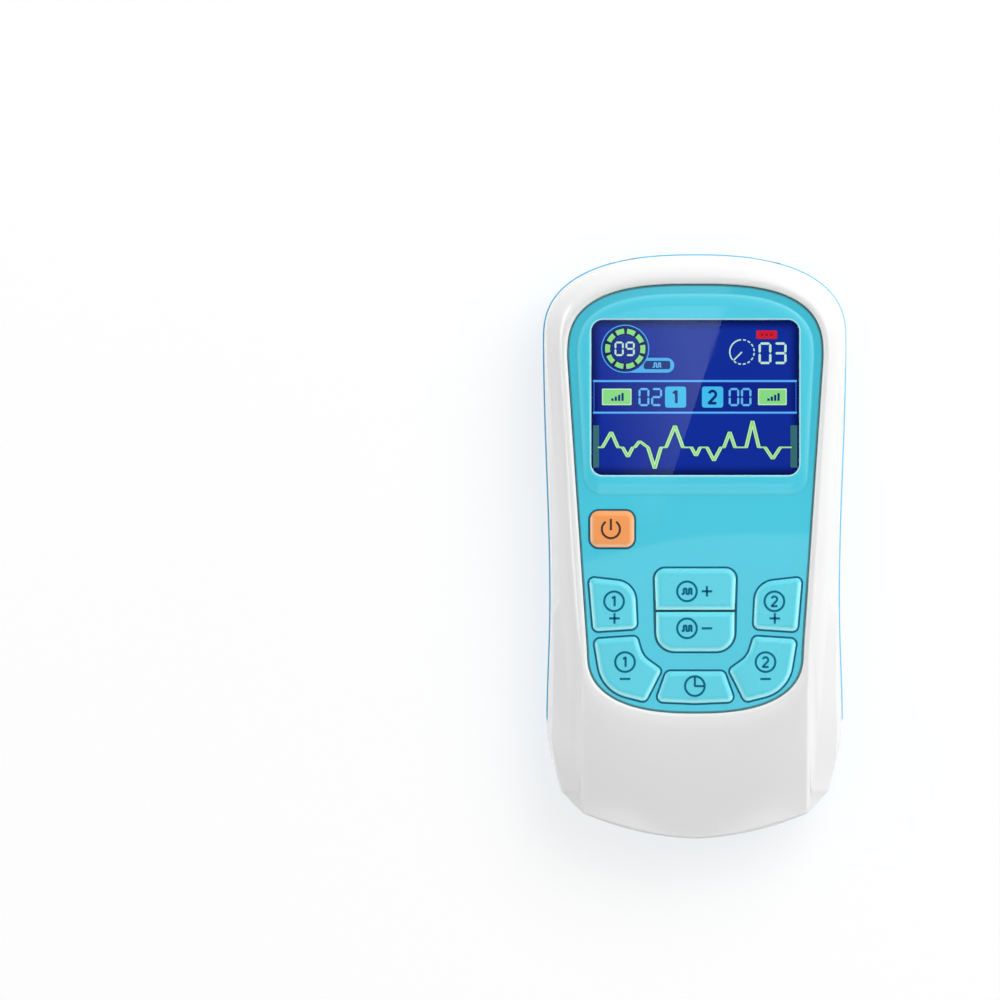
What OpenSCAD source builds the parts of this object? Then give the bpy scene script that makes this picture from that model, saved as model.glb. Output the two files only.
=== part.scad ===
// Handheld two-channel TENS unit, lying on its back.
// +Z leaves the front face, +Y runs to the end with the output sockets, +X is the right-hand side.
// The origin is the middle of the footprint, on the surface that the unit lies on.
// All sizes are millimetres.

/* [Housing] */
// Length from the chin to the socket end
body_len = 139; // [128:1:170]
// Width across the shoulders
body_w = 72.3; // [71:0.1:90]
// How far each side draws in at the waist
waist_in = 1.5; // [0.5:0.1:2]
// How far each side stands in at the hips
hip_in = 0.8; // [0.2:0.1:1.4]
// Wall of both shells
wall = 2; // [1.6:0.1:2.4]
// Height of the seam between the shells
seam_z = 12.5; // [11.5:0.1:13]
// How far the back shell stands out past the front one at the seam
seam_step = 0.2; // [0.1:0.05:0.3]
// Height of the rim over the face panel
rim_rise = 0.8; // [0.5:0.1:1.2]
// Squareness of the socket end, 2 is an ellipse
top_power = 2.45; // [2.2:0.05:2.8]

/* [Face panel] */
// Length of the face panel
panel_len = 101.8; // [99:0.1:106]
// Width of the face panel at its widest
panel_w = 60.7; // [59:0.1:62]
// Width of the face panel above its lower curve
panel_low_w = 51.3; // [51:0.1:54]
// Thickness of the face panel
panel_t = 1.6; // [1.4:0.1:2]
// Distance from the socket end to the face panel
panel_top_gap = 7.2; // [6.5:0.1:8]
// Width of the ledge that the face panel lies on
ledge_w = 1; // [0.8:0.1:1.3]
// Height of the hood round the display
hood_h = 0.6; // [0.4:0.1:0.8]

/* [Display] */
// Width of the window
window_w = 49.1; // [46:0.1:50]
// Height of the window
window_h = 36.6; // [34:0.1:37.5]
// Corner radius of the window
window_r = 2.6; // [1.5:0.1:3.5]
// Thickness of the window
window_t = 1.2; // [1:0.1:1.4]
// Thickness of the display glass
glass_t = 2.2; // [1.8:0.1:2.4]

/* [Keys] */
// How far the keys stand over the face panel
key_proud = 0.7; // [0.6:0.1:1]
// How far a key goes down
key_travel = 0.6; // [0.3:0.1:0.6]
// Gap round a key in the face panel
key_gap = 0.25; // [0.2:0.05:0.3]
// Width of the flange under the face panel
key_flange_w = 0.4; // [0.3:0.05:0.4]
// Thickness of that flange
key_flange_t = 1; // [0.8:0.1:1.2]

/* [Output sockets] */
// Distance between the two sockets
socket_pitch = 34; // [30:1:36]
// Diameter of the socket bore
socket_bore = 2.6; // [2.5:0.1:3.5]
// Depth of the socket bore
socket_depth = 11; // [9:0.5:12]
// Diameter of the socket collar
socket_collar_d = 6.4; // [5.5:0.1:7]

/* [Battery] */
// Diameter of a cell
cell_d = 10.5; // [9:0.1:13]
// Length of a cell with its button
cell_len = 44.5; // [40:0.5:50]
// Number of cells side by side
cell_count = 3; // [2:1:3]
// Thickness of the battery door
door_t = 1.8; // [1.5:0.1:2]

/* [Hidden] */
$fn = 48;

// clearances
door_gap = 0.3;       // round the door, and under it when the unit lies down
panel_gap = 0.3;      // round the face panel
seat_gap = 0.1;       // between pieces that are slipped into each other
slip = 0.3;           // round what lies loose in its bay

// heights, from the back to the front
cell_z = door_gap + door_t + slip + cell_d / 2;
bay_roof_t = 1.2;
bay_top_z = cell_z + cell_d / 2 + slip + bay_roof_t;
under_board = 2.55;   // room for the solder joints under the board
board_z = bay_top_z + under_board;
board_t = 1.6;
board_top_z = board_z + board_t;
switch_t = 1.6;
plunger_t = 0.5;
mat_t = 1;
mat_z = board_top_z + switch_t + plunger_t;
key_slack = 0.2;      // between the mat and a key that is pushed in
flange_top_z = mat_z + mat_t + key_travel + key_slack + key_flange_t;
ledge_z = flange_top_z + seat_gap;
ledge_t = 1.4;
panel_z = ledge_z + panel_t;
body_h = panel_z + rim_rise;

// places along the length
top_y = body_len / 2;
low_y = -body_len / 2;
shoulder_y = top_y - 20;
facet_y = low_y + 56.7;
facet_run = 3.3;
hip_y = low_y + 26.5;
corner_a = [body_w / 2 - 4.15, low_y + 11.4];
corner_b = [body_w / 2 - 9.4, low_y + 6];
panel_top_y = top_y - panel_top_gap;
panel_low_y = panel_top_y - panel_len;
window_y = panel_top_y - 8.6 - window_h / 2;
window_low_y = window_y - window_h / 2;
// the keys and the curves of the panel are drawn for a field of this size below the window,
// and stretch with the real one
drawn_field = [51.3, 56.6];
field_stretch = [panel_low_w / drawn_field[0], (window_low_y - panel_low_y) / drawn_field[1]];
panel_cap_h = 17.3;
panel_foot_h = 14.5 * field_stretch[1];

// steps of the loops round the housing, from the top middle to the bottom middle
cap_steps = 14;
flank_steps = 10;
facet_steps = 8;
side_steps = flank_steps + 1 + facet_steps;
cut_steps = 2;
chin_steps = 7;

function lerp(a, b, t) = a + (b - a) * t;
function unit(v) = v / norm(v);

// A smooth curve through the points of a short list, with flat ends
function slope_at(list, i) =
    let (a = list[max(i - 1, 0)], b = list[min(i + 1, len(list) - 1)])
    (i == 0 || i == len(list) - 1) ? 0 : (b[1] - a[1]) / (b[0] - a[0]);
function through(list, x, i = 0) =
    x <= list[0][0] ? list[0][1] :
    i == len(list) - 1 ? list[i][1] :
    x > list[i + 1][0] ? through(list, x, i + 1) :
    let (
        a = list[i],
        b = list[i + 1],
        w = b[0] - a[0],
        t = (x - a[0]) / w
    )
    a[1] * (1 + 2 * t) * pow(1 - t, 2) + slope_at(list, i) * w * t * pow(1 - t, 2)
    + b[1] * t * t * (3 - 2 * t) + slope_at(list, i + 1) * w * t * t * (t - 1);

// A quarter of a rounded end, from the middle line to the side
function quarter(a, b, power, steps) =
    [for (i = [0 : steps]) let (t = 90 * i / steps) [a * pow(sin(t), 2 / power), b * pow(cos(t), 2 / power)]];
// A half outline made whole, both sides alike
function both_sides(half) =
    concat(half, [for (i = [len(half) - 2 : -1 : 1]) [-half[i][0], half[i][1]]]);
// An outline moved inwards, point by point
function inward(loop, d) =
    let (n = len(loop))
    [for (i = [0 : n - 1])
        let (
            a = unit(loop[i] - loop[(i + n - 1) % n]),
            b = unit(loop[(i + 1) % n] - loop[i]),
            m = a + b,
            k = d / max(0.5, m * m / 4) / 2
        )
        loop[i] + [m[1], -m[0]] * k];
function at_z(loop, z) = [for (p = loop) [p[0], p[1], z]];
function with_z(loop, zs) = [for (i = [0 : len(loop) - 1]) [loop[i][0], loop[i][1], zs[i]]];

// A corner of a polygon rounded by an arc
function arc_at(a, p, b, r, steps) =
    let (
        u = unit(a - p),
        v = unit(b - p),
        half = acos(u * v) / 2,
        c = p + unit(u + v) * r / sin(half),
        s = p + u * r / tan(half) - c,
        e = p + v * r / tan(half) - c,
        sa = atan2(s[1], s[0]),
        turn = (atan2(e[1], e[0]) - sa + 540) % 360 - 180
    )
    [for (i = [0 : steps]) c + r * [cos(sa + turn * i / steps), sin(sa + turn * i / steps)]];
// A polygon given as [x, y, corner radius]
function rounded(pts, steps = 6) =
    let (n = len(pts))
    [for (i = [0 : n - 1])
        let (a = pts[(i + n - 1) % n], p = pts[i], b = pts[(i + 1) % n])
        each arc_at([a[0], a[1]], [p[0], p[1]], [b[0], b[1]], p[2], steps)];
function box_outline(w, h, r) =
    [[-w / 2, h / 2, r], [w / 2, h / 2, r], [w / 2, -h / 2, r], [-w / 2, -h / 2, r]];
function moved(loop, x, y) = [for (p = loop) [p[0] + x, p[1] + y]];

// A skin over loops that have equally many points. Loops run clockwise seen from above.
// "ends" closes the first and the last loop, "ring" joins the last loop to the first.
module skin(loops, closing = "ends") {
    n = len(loops[0]);
    m = len(loops);
    rows = closing == "ring" ? m : m - 1;
    sides = [for (j = [0 : rows - 1], i = [0 : n - 1])
        let (k = (i + 1) % n, q = (j + 1) % m)
        each [[j * n + i, q * n + k, q * n + i], [j * n + i, j * n + k, q * n + k]]];
    ends = closing == "ring" ? [] : [
        [for (i = [n - 1 : -1 : 0]) i],
        [for (i = [0 : n - 1]) (m - 1) * n + i]
    ];
    polyhedron([for (loop = loops) each loop], concat(sides, ends), convexity = 6);
}

// ---- outlines of the housing ----

function side_y(i) =
    i <= flank_steps ? lerp(shoulder_y, facet_y, i / flank_steps)
    : lerp(facet_y - facet_run, corner_a[1], (i - flank_steps - 1) / facet_steps);
// how far the silhouette stands in from the shoulder line
function side_in(y) =
    y > facet_y ? lerp(0, waist_in, pow(sin(90 * (shoulder_y - y) / (shoulder_y - facet_y)), 2))
    : y > hip_y ? lerp(waist_in, hip_in, pow(sin(90 * (facet_y - y) / (facet_y - hip_y)), 2))
    : lerp(hip_in, body_w / 2 - corner_a[0], pow((hip_y - y) / (hip_y - corner_a[1]), 1.3));
// how far the upper crease of the side stands in, by its distance from the chin's lowest point
function crease_in(y) = through(
    [[6, 9.4], [12, 8.45], [22, 7.4], [30, 6.35], [57, 4.45], [96, 2.4], [119, 0.9]], y - low_y);
// the lower crease leaves the upper one at the facet and ends at the upper corner of the chin
function low_crease_in(y) =
    through([[11.4, 4.3], [16, 3.2], [23, 2.35], [39, 2.55], [53.4, 2.35]], y - low_y);
// heights of the two creases
function crease_drop(y) =
    through([[6, 5.8], [12, 5.2], [30, 4], [57, 3.35], [119, 3.4]], y - low_y);
function low_crease_z(y) =
    seam_z + through([[11.4, 5], [30, 6.8], [53.4, 7.8]], y - low_y);

wall_top_z = seam_z + 3;
wall_mid_z = seam_z + 6.3;
chin_wall_rise = 1.5;
chin_edge_r = 0.4;
// the lower edge of the chin: a shallow curve from corner to corner, with a slight point
function chin_y(x, corner) =
    let (t = x / corner[0]) lerp(low_y, corner[1], pow(t, 1.9) * 0.94 + t * 0.06);
function chin_points(corner) =
    [for (i = [1 : chin_steps])
        let (x = corner[0] * (1 - i / chin_steps)) [x, chin_y(x, corner)]];
function cap_points() = [for (p = quarter(body_w / 2, top_y - shoulder_y, top_power, cap_steps))
    [p[0], p[1] + shoulder_y]];
function silhouette_half() = concat(
    cap_points(),
    [for (i = [1 : side_steps]) let (y = side_y(i)) [body_w / 2 - side_in(y), y]],
    [for (i = [1 : cut_steps]) lerp(corner_a, corner_b, i / cut_steps)],
    chin_points(corner_b)
);
silhouette = both_sides(silhouette_half());
side_count = cap_steps + side_steps;
half_count = side_count + cut_steps + chin_steps;
// 0 above the hips and 1 below them, where the front shell overhangs the back one
function chin_share(y) = through([[24, 1], [29, 0]], y - low_y);
front_rim = let (deep = inward(silhouette, seam_step))
    [for (i = [0 : len(silhouette) - 1]) lerp(deep[i], silhouette[i], chin_share(silhouette[i][1]))];
// the tongue of the back shell inside the wall of the front one
lip_h = 0.8;
lip_depths = [1.1, 1.9];
lip_gap = 0.1;

// the upper crease keeps the silhouette's points on the cap, and runs inside it down the sides
cap_in = [0.35, 0.9];
chin_edge = inward(silhouette, chin_edge_r);
top_crease = let (cap = inward(silhouette, cap_in[1]))
    both_sides([for (i = [0 : half_count])
        let (y = silhouette[i][1])
        i <= cap_steps ? cap[i] :
        i < side_count + cut_steps ? [body_w / 2 - crease_in(y), y] : chin_edge[i]]);
// above the facet the wall is one curved face, and the lower crease hides close under the upper one
mid_share = 0.35;
near_top = 0.85;
function above_facet(i) = i <= cap_steps + flank_steps;
wall_mid = let (cap = inward(silhouette, cap_in[0]))
    [for (i = [0 : half_count]) i <= cap_steps ? cap[i] : lerp(silhouette[i], top_crease[i], mid_share)];
low_half = let (edge = inward(silhouette, chin_edge_r / 8))
    [for (i = [0 : half_count])
        let (y = silhouette[i][1])
        above_facet(i) ? lerp(wall_mid[i], top_crease[i], near_top) :
        i < side_count ? [body_w / 2 - low_crease_in(y), y] : edge[i]];
low_crease = both_sides(low_half);
mid_line = both_sides([for (i = [0 : half_count])
    above_facet(i) ? wall_mid[i] : lerp(silhouette[i], low_half[i], 0.5)]);

function mirrored(half) = concat(half, [for (i = [len(half) - 2 : -1 : 1]) half[i]]);
chin_drops = [6.3, 5.5];
edge_drops = [5.8, 5];
function chin_part(i) = (i - side_count - cut_steps) / chin_steps;
wall_top_half = [for (i = [0 : half_count])
    wall_top_z + chin_wall_rise * max(0, i - side_count) / (cut_steps + chin_steps)];
top_half_zs = [for (i = [0 : half_count])
    i <= side_count ? body_h - crease_drop(top_crease[i][1]) :
    body_h - lerp(edge_drops[0], edge_drops[1], max(0, chin_part(i)))];
low_half_zs = [for (i = [0 : half_count])
    above_facet(i) ? lerp(wall_mid_z, top_half_zs[i], near_top) :
    i <= side_count ? low_crease_z(silhouette[i][1]) :
    i <= side_count + cut_steps ?
        lerp(low_crease_z(corner_a[1]), body_h - chin_drops[0], (i - side_count) / cut_steps) :
    body_h - lerp(chin_drops[0], chin_drops[1], chin_part(i))];
mid_zs = mirrored([for (i = [0 : half_count])
    above_facet(i) ? wall_mid_z : lerp(wall_top_half[i], low_half_zs[i], 0.5)]);
wall_top_zs = mirrored(wall_top_half);
low_crease_zs = mirrored(low_half_zs);
top_crease_zs = mirrored(top_half_zs);

// the face panel: a square-shouldered cap, straight tapering sides and a rounded foot
panel_half = concat(
    [for (p = quarter(panel_w / 2, panel_cap_h, 2.8, cap_steps)) p + [0, panel_top_y - panel_cap_h]],
    [for (i = [1 : side_steps])
        let (t = (shoulder_y - side_y(i)) / (shoulder_y - corner_a[1]))
        [lerp(panel_w, panel_low_w, t) / 2, lerp(panel_top_y - panel_cap_h, panel_low_y + panel_foot_h, t)]],
    let (steps = cut_steps + chin_steps, foot = quarter(panel_low_w / 2, panel_foot_h, 2.5, steps))
    [for (i = [steps - 1 : -1 : 0]) [foot[i][0], panel_low_y + panel_foot_h - foot[i][1]]]
);
panel_outline = both_sides(panel_half);

// ---- front shell ----

crest_w = 1.2;
face_rows = 4;
// how strongly the face bulges between the crease and the rim: most on the cap and the chin
function bulge(i) =
    i <= cap_steps ? lerp(1.9, 1.35, i / cap_steps) :
    i <= side_count ? lerp(1.35, 1.5, (i - cap_steps) / side_steps) : 1.8;
function face_loop(t) =
    let (
        crest = inward(panel_outline, -crest_w),
        n = len(crest)
    )
    [for (i = [0 : n - 1])
        let (
            k = min(i, n - i),
            p = lerp(top_crease[i], crest[i], t),
            z = lerp(top_crease_zs[i], crest_z(k), 1 - pow(1 - t, bulge(k)))
        )
        [p[0], p[1], z]];
function crest_z(i) = body_h - (i <= side_count ? 0 : 0.35 * (i - side_count) / (cut_steps + chin_steps));

module front_skin() {
    crest_in = inward(panel_outline, -crest_w / 2);
    pocket = inward(panel_outline, -panel_gap);
    mouth = inward(panel_outline, ledge_w);
    inner_wall = inward(silhouette, wall);
    lip_wall = inward(silhouette, lip_depths[0] - lip_gap);
    lip_top_z = seam_z + lip_h + lip_gap;
    inner_top = inward(top_crease, wall * 0.9);
    skin(concat(
        [
            at_z(front_rim, seam_z),
            with_z(front_rim, wall_top_zs),
            with_z(mid_line, mid_zs),
            with_z(low_crease, low_crease_zs)
        ],
        [for (j = [0 : face_rows]) face_loop(j / face_rows)],
        [
            at_z(crest_in, body_h - 0.15),
            at_z(pocket, panel_z + 0.15),
            at_z(pocket, ledge_z),
            at_z(mouth, ledge_z),
            at_z(mouth, ledge_z - ledge_t),
            at_z(inward(panel_outline, -crest_w), ledge_z - ledge_t),
            with_z(inner_top, [for (z = top_crease_zs) z - wall * 1.1]),
            at_z(inner_wall, wall_top_z),
            at_z(inner_wall, lip_top_z),
            at_z(lip_wall, lip_top_z),
            at_z(lip_wall, seam_z)
        ]
    ), "ring");
}

// ---- screws and bosses ----

boss_d = 5.6;
back_boss_d = 6.4;
screw_d = 2.5;
screw_len = 12;
screw_head_d = 4.6;
screw_head_t = 1.6;
screw_seat_z = 5;
case_screws = [
    [body_w / 2 - 5.6, shoulder_y - 2], [-body_w / 2 + 5.6, shoulder_y - 2],
    [body_w / 2 - 7.65, low_y + 25.5], [-body_w / 2 + 7.65, low_y + 25.5]
];
// the upper bosses reach the ledge, the lower ones the slope beside the chin
boss_top_z = [ledge_z - ledge_t - 0.4, wall_mid_z + 0.1];
board_screw_d = 2;
board_screw_head_d = 4;
board_screw_head_t = 1.4;
board_screw_len = 6;
board_screw_x = 25;
board_screws_at = [for (s = [-1, 1], y = [window_y - 24.8, panel_low_y + 4.5]) [s * board_screw_x, y]];

// A pan-head screw, its seat at z = 0 and its shank going up or down from there
module screw(d, length, head_d, head_t) {
    difference() {
        union() {
            cylinder(d = d, h = length);
            rotate_extrude()
                polygon([[0, 0], [head_d / 2, 0], [head_d / 2, -head_t * 0.45],
                    [head_d / 2 - head_t * 0.3, -head_t * 0.85], [head_d / 4, -head_t], [0, -head_t]]);
        }
        for (a = [0, 90])
            rotate([0, 0, a])
                translate([-head_d * 0.3, -head_d * 0.07, -head_t - 1])
                    cube([head_d * 0.6, head_d * 0.14, 1 + head_t * 0.6]);
    }
}

module case_screw(p) {
    color("silver")
        translate([p[0], p[1], screw_seat_z])
            screw(screw_d, screw_len, screw_head_d, screw_head_t);
}

module board_screws() {
    color("silver")
        for (p = board_screws_at)
            translate([p[0], p[1], board_top_z])
                mirror([0, 0, 1])
                    screw(board_screw_d, board_screw_len, board_screw_head_d, board_screw_head_t);
}

module front_boss(p) {
    translate([p[0], p[1], seam_z])
        difference() {
            cylinder(d = boss_d, h = boss_top_z[p[1] > 0 ? 0 : 1] - seam_z);
            translate([0, 0, -1])
                cylinder(d = screw_d + seat_gap, h = screw_seat_z + screw_len - seam_z + 1.5);
        }
}

module socket_holes() {
    for (s = [-1, 1])
        translate([s * socket_pitch / 2, top_y - 12, seam_z])
            rotate([-90, 0, 0])
                cylinder(d = socket_collar_d + 4 * seat_gap, h = 20);
}

module front_shell() {
    color("#F4F5F4")
        difference() {
            union() {
                front_skin();
                for (p = case_screws)
                    front_boss(p);
            }
            socket_holes();
        }
}

// ---- back shell and battery door ----

back_rows = 5;
back_power = 3.2;
base_in = 6;
overhang = 0.9;
back_rim = let (deep = inward(silhouette, overhang))
    [for (i = [0 : len(silhouette) - 1]) lerp(silhouette[i], deep[i], chin_share(silhouette[i][1]))];
// the flat that the unit lies on ends further from the chin than from the sides
base_outline = [for (p = inward(silhouette, base_in))
    [p[0], lerp(low_y + 12.5, top_y - 8, (p[1] - low_y - base_in) / (body_len - 2 * base_in))]];
function back_loop(turn, d) =
    let (
        u = pow(cos(turn), 2 / back_power),
        v = pow(sin(turn), 2 / back_power),
        rim = inward(back_rim, d),
        base = inward(base_outline, d)
    )
    [for (i = [0 : len(rim) - 1])
        let (p = lerp(base[i], rim[i], u)) [p[0], p[1], lerp(seam_z, d, v)]];
function back_loops(d, rows) = [for (j = [rows : -1 : 0]) back_loop(90 * j / rows, d)];
function turned(list) = [for (i = [len(list) - 1 : -1 : 0]) list[i]];

// everything inside the back form, a distance d under its skin
module back_form(d, rise = 0) {
    skin(concat(back_loops(d, back_rows), rise > 0 ? [at_z(inward(back_rim, d), seam_z + rise)] : []));
}
// the cup: the outer skin, the tongue that stands up inside the front shell, and the inner skin
module back_cup() {
    lip_out = inward(silhouette, lip_depths[0]);
    lip_in = inward(silhouette, lip_depths[1]);
    skin(concat(
        back_loops(0, back_rows),
        [at_z(lip_out, seam_z), at_z(lip_out, seam_z + lip_h), at_z(lip_in, seam_z + lip_h)],
        turned(back_loops(wall, back_rows - 1))
    ));
}

spring_room = 4.9;
bay_wall = 1.2;
bay_w = cell_count * cell_d + (cell_count + 1) * slip;
bay_len = cell_len + spring_room + 0.6;
bay_low_y = low_y + 14.5;
bay_high_y = bay_low_y + bay_len;
bay_floor_z = door_gap + door_t + door_gap;
web = 1.4;
door_w = bay_w + 2 * bay_wall + 4.6;
door_top_y = bay_high_y + 4;
door_end_z = 9.5;
door_corner_r = 3;
groove_w = 1;
groove_z = 1;
groove_end_y = door_top_y - 5;
latch_w = 12;
latch_len = 9;
latch_slot = 0.6;
grip_edge = 1.5;
grip_depth = 0.6;
grip_pitch = 1.4;

module door_zone(more) {
    x = door_w / 2 + more;
    r = door_corner_r + more;
    translate([0, 0, -1])
        linear_extrude(door_end_z + more + 1)
            polygon(rounded([[-x, door_top_y + more, r], [x, door_top_y + more, r],
                [x, low_y - 5, 0.5], [-x, low_y - 5, 0.5]]));
}

module bay_space(more, top) {
    translate([-bay_w / 2 - more, bay_low_y - more, more > 0 ? bay_floor_z : -1])
        cube([bay_w + 2 * more, bay_len + 2 * more, top - (more > 0 ? bay_floor_z : -1)]);
}

module back_bosses() {
    for (p = case_screws)
        translate([p[0], p[1], 0])
            cylinder(d = back_boss_d, h = seam_z);
}

board_post_d = 5;
tongue_post_d = 4;
tongue_post_y = top_y - 9;
module board_posts() {
    for (p = board_screws_at)
        translate([p[0], p[1], wall / 2])
            cylinder(d = board_post_d, h = board_z - wall / 2);
    translate([0, tongue_post_y, wall / 2])
        cylinder(d = tongue_post_d, h = board_z - wall / 2);
}

module back_shell() {
    color("#58B6E6")
        difference() {
            union() {
                back_cup();
                intersection() {
                    back_form(0);
                    union() {
                        difference() {
                            door_zone(web);
                            back_form(bay_floor_z + web, 1);
                        }
                        back_bosses();
                    }
                }
                bay_space(bay_wall, bay_top_z);
                board_posts();
            }
            difference() {
                door_zone(0);
                back_form(bay_floor_z, 1);
            }
            bay_space(0, bay_top_z - bay_roof_t);
            for (s = [-1, 1])
                translate([s * door_w / 2 - groove_w, low_y - 1, groove_z])
                    cube([2 * groove_w, groove_end_y - low_y + 1, bay_floor_z - groove_z]);
            for (p = case_screws)
                translate([p[0], p[1], -1]) {
                    cylinder(d = screw_head_d + 2 * slip, h = screw_seat_z + 1);
                    cylinder(d = screw_d + 2 * seat_gap, h = seam_z + 2);
                }
            for (p = board_screws_at)
                translate([p[0], p[1], board_z - board_screw_len - 1])
                    cylinder(d = board_screw_d + seat_gap, h = board_screw_len + 2);
            socket_holes();
        }
}

module door_panel() {
    lip_x = door_w / 2 - door_gap + groove_w - 0.15;
    difference() {
        union() {
            intersection() {
                door_zone(-door_gap);
                back_form(door_gap);
            }
            for (s = [-1, 1])
                translate([s > 0 ? door_w / 2 - 2 : -lip_x, bay_low_y, groove_z + 0.2])
                    cube([lip_x - door_w / 2 + 2, groove_end_y - door_gap - bay_low_y,
                        door_gap + door_t - groove_z - 0.2]);
        }
        back_form(door_gap + door_t, 1);
    }
}

module battery_door() {
    color("#58B6E6")
        difference() {
            door_panel();
            for (s = [-1, 1])
                translate([s * latch_w / 2 - latch_slot / 2, door_top_y - latch_len, -1])
                    cube([latch_slot, latch_len + 1, 5]);
            translate([-latch_w / 2 + grip_edge, door_top_y - latch_len + 1, 0])
                difference() {
                    cube([latch_w - 2 * grip_edge, latch_len - 2 * grip_edge, door_gap + grip_depth]);
                    for (i = [0 : 3])
                        translate([-1, latch_slot + i * grip_pitch, -1])
                            cube([latch_w, latch_slot, 5]);
                }
        }
}

// ---- battery ----

function cell_x(i) = (i - (cell_count - 1) / 2) * (cell_d + slip);
function cell_way(i) = i % 2 == 0 ? 1 : -1;
contact_t = 0.5;
contact_w = 8;
button_d = 3.8;
button_len = 1.2;
coil_foot_r = [2.7, 3.4];
coil_tip_r = [1.7, 2.4];
bay_mid_y = bay_low_y + bay_len / 2;

module cell(i) {
    r = cell_d / 2;
    tip = bay_len / 2 - contact_t - 0.05;
    color("#C9CDD2")
        translate([cell_x(i), bay_mid_y, cell_z])
            rotate([-90 * cell_way(i), 0, 0])
                translate([0, 0, tip - cell_len])
                    rotate_extrude()
                        polygon([[0, 0], [r - 1, 0], [r - 0.8, 0.4], [r - 0.3, 0.4], [r, 0.7],
                            [r, cell_len - button_len - 0.5], [r - 0.5, cell_len - button_len],
                            [button_d / 2, cell_len - button_len], [button_d / 2, cell_len - 0.3],
                            [button_d / 2 - 0.3, cell_len], [0, cell_len]]);
}

module contact_plate() {
    translate([-contact_w / 2, 0, -contact_w / 2])
        cube([contact_w, contact_t, contact_w]);
}

module battery_springs() {
    spring_len = bay_len - contact_t - cell_len - contact_t - 0.15;
    color("silver")
        for (i = [0 : cell_count - 1])
            translate([cell_x(i), bay_mid_y, cell_z])
                mirror([0, cell_way(i) > 0 ? 0 : 1, 0])
                    translate([0, -bay_len / 2, 0]) {
                        contact_plate();
                        translate([0, contact_t, 0])
                            rotate([-90, 0, 0])
                                rotate_extrude()
                                    polygon([[coil_foot_r[0], 0], [coil_foot_r[1], 0],
                                        [coil_tip_r[1], spring_len], [coil_tip_r[0], spring_len]]);
                    }
}

module battery_plates() {
    color("silver")
        for (i = [0 : cell_count - 1])
            translate([cell_x(i), bay_mid_y, cell_z])
                mirror([0, cell_way(i) > 0 ? 1 : 0, 0])
                    translate([0, -bay_len / 2, 0])
                        contact_plate();
}

// ---- face panel and window ----

window_outline = moved(rounded(box_outline(window_w, window_h, window_r)), 0, window_y);
hood_side = 2.3;
hood_low_y = window_y - window_h / 2 - 5.1;
hood_r = 5;
hood_half = let (x = panel_low_w / 2 + 1.2)
    concat(
        [for (p = quarter(panel_w / 2 - hood_side, panel_cap_h - hood_side, 2.8, cap_steps))
            p + [0, panel_top_y - panel_cap_h]],
        [for (p = turned(quarter(hood_r, hood_r, 2, 5))) [x - hood_r + p[0], hood_low_y + hood_r - p[1]]],
        [[0, hood_low_y]]
    );
hood_outline = both_sides(hood_half);

module panel_hood() {
    skin([
        at_z(hood_outline, panel_z - 0.4),
        at_z(hood_outline, panel_z),
        at_z(inward(hood_outline, 0.35), panel_z + hood_h * 0.7),
        at_z(inward(hood_outline, 0.9), panel_z + hood_h)
    ]);
}

module face_panel() {
    color("#56CFE1")
        difference() {
            union() {
                translate([0, 0, ledge_z])
                    linear_extrude(panel_t)
                        polygon(panel_outline);
                panel_hood();
            }
            skin([
                at_z(inward(window_outline, -0.1), panel_z - 0.1),
                at_z(inward(window_outline, -0.3), panel_z),
                at_z(inward(window_outline, -1.7), panel_z + hood_h + 0.01),
                at_z(inward(window_outline, -1.7), panel_z + hood_h + 1)
            ]);
            translate([0, 0, ledge_z - 1])
                linear_extrude(panel_t + 1)
                    polygon(inward(window_outline, -seat_gap));
            translate([0, 0, ledge_z - 1])
                linear_extrude(panel_t - window_t + 1.55)
                    polygon(inward(window_outline, -window_flange_w - seat_gap));
            translate([0, 0, ledge_z - 1])
                linear_extrude(panel_t + 2)
                    for (k = KEYS)
                        if (k[0] != "mode_down_key")
                            polygon(inward(k[0] == "mode_up_key" ? mode_pair : k[1], -key_gap));
        }
}

window_flange_w = 1.1;
window_top_z = panel_z - 0.05;

module display_window() {
    color("#DDEEFF", 0.4) {
        translate([0, 0, window_top_z - window_t])
            linear_extrude(window_t)
                polygon(window_outline);
        translate([0, 0, window_top_z - window_t])
            linear_extrude(0.55)
                polygon(inward(window_outline, -window_flange_w));
    }
}

// ---- display ----

glass_w = window_w + 2.3;
glass_h = window_h + 2.4;
glass_top_z = ledge_z - 0.6;
holder_wall = 1.3;
holder_w = glass_w + 2 * seat_gap + 2 * holder_wall;
holder_h = glass_h + 2 * seat_gap + 2 * holder_wall;
ribbon_w = 16;
ribbon_t = 0.2;

module plate(w, h, r, z0, z1) {
    translate([0, window_y, z0])
        linear_extrude(z1 - z0)
            polygon(rounded(box_outline(w, h, r), 3));
}

module display_glass() {
    color("#16309A")
        plate(glass_w, glass_h, 0.6, glass_top_z - glass_t, glass_top_z);
}

module backlight() {
    color("#F6F6F0")
        plate(glass_w - 0.6, glass_h - 0.6, 0.6, board_top_z, glass_top_z - glass_t);
}

module display_gasket() {
    color("#222222")
        difference() {
            plate(window_w + 1.8, window_h + 1.8, window_r + 0.9, glass_top_z, window_top_z - window_t);
            plate(window_w + 0.2, window_h + 0.2, window_r, glass_top_z - 1, window_top_z);
        }
}

module display_holder() {
    color("#E8E8E8")
        difference() {
            plate(holder_w, holder_h, 1.5, board_top_z, ledge_z - ledge_t - 0.4);
            plate(glass_w + 2 * seat_gap, glass_h + 2 * seat_gap, 0.6, board_top_z - 1, ledge_z);
            translate([-ribbon_w / 2 - 0.5, window_y - holder_h / 2 - 1, board_top_z - 1])
                cube([ribbon_w + 1, 3, 4]);
        }
}

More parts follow.
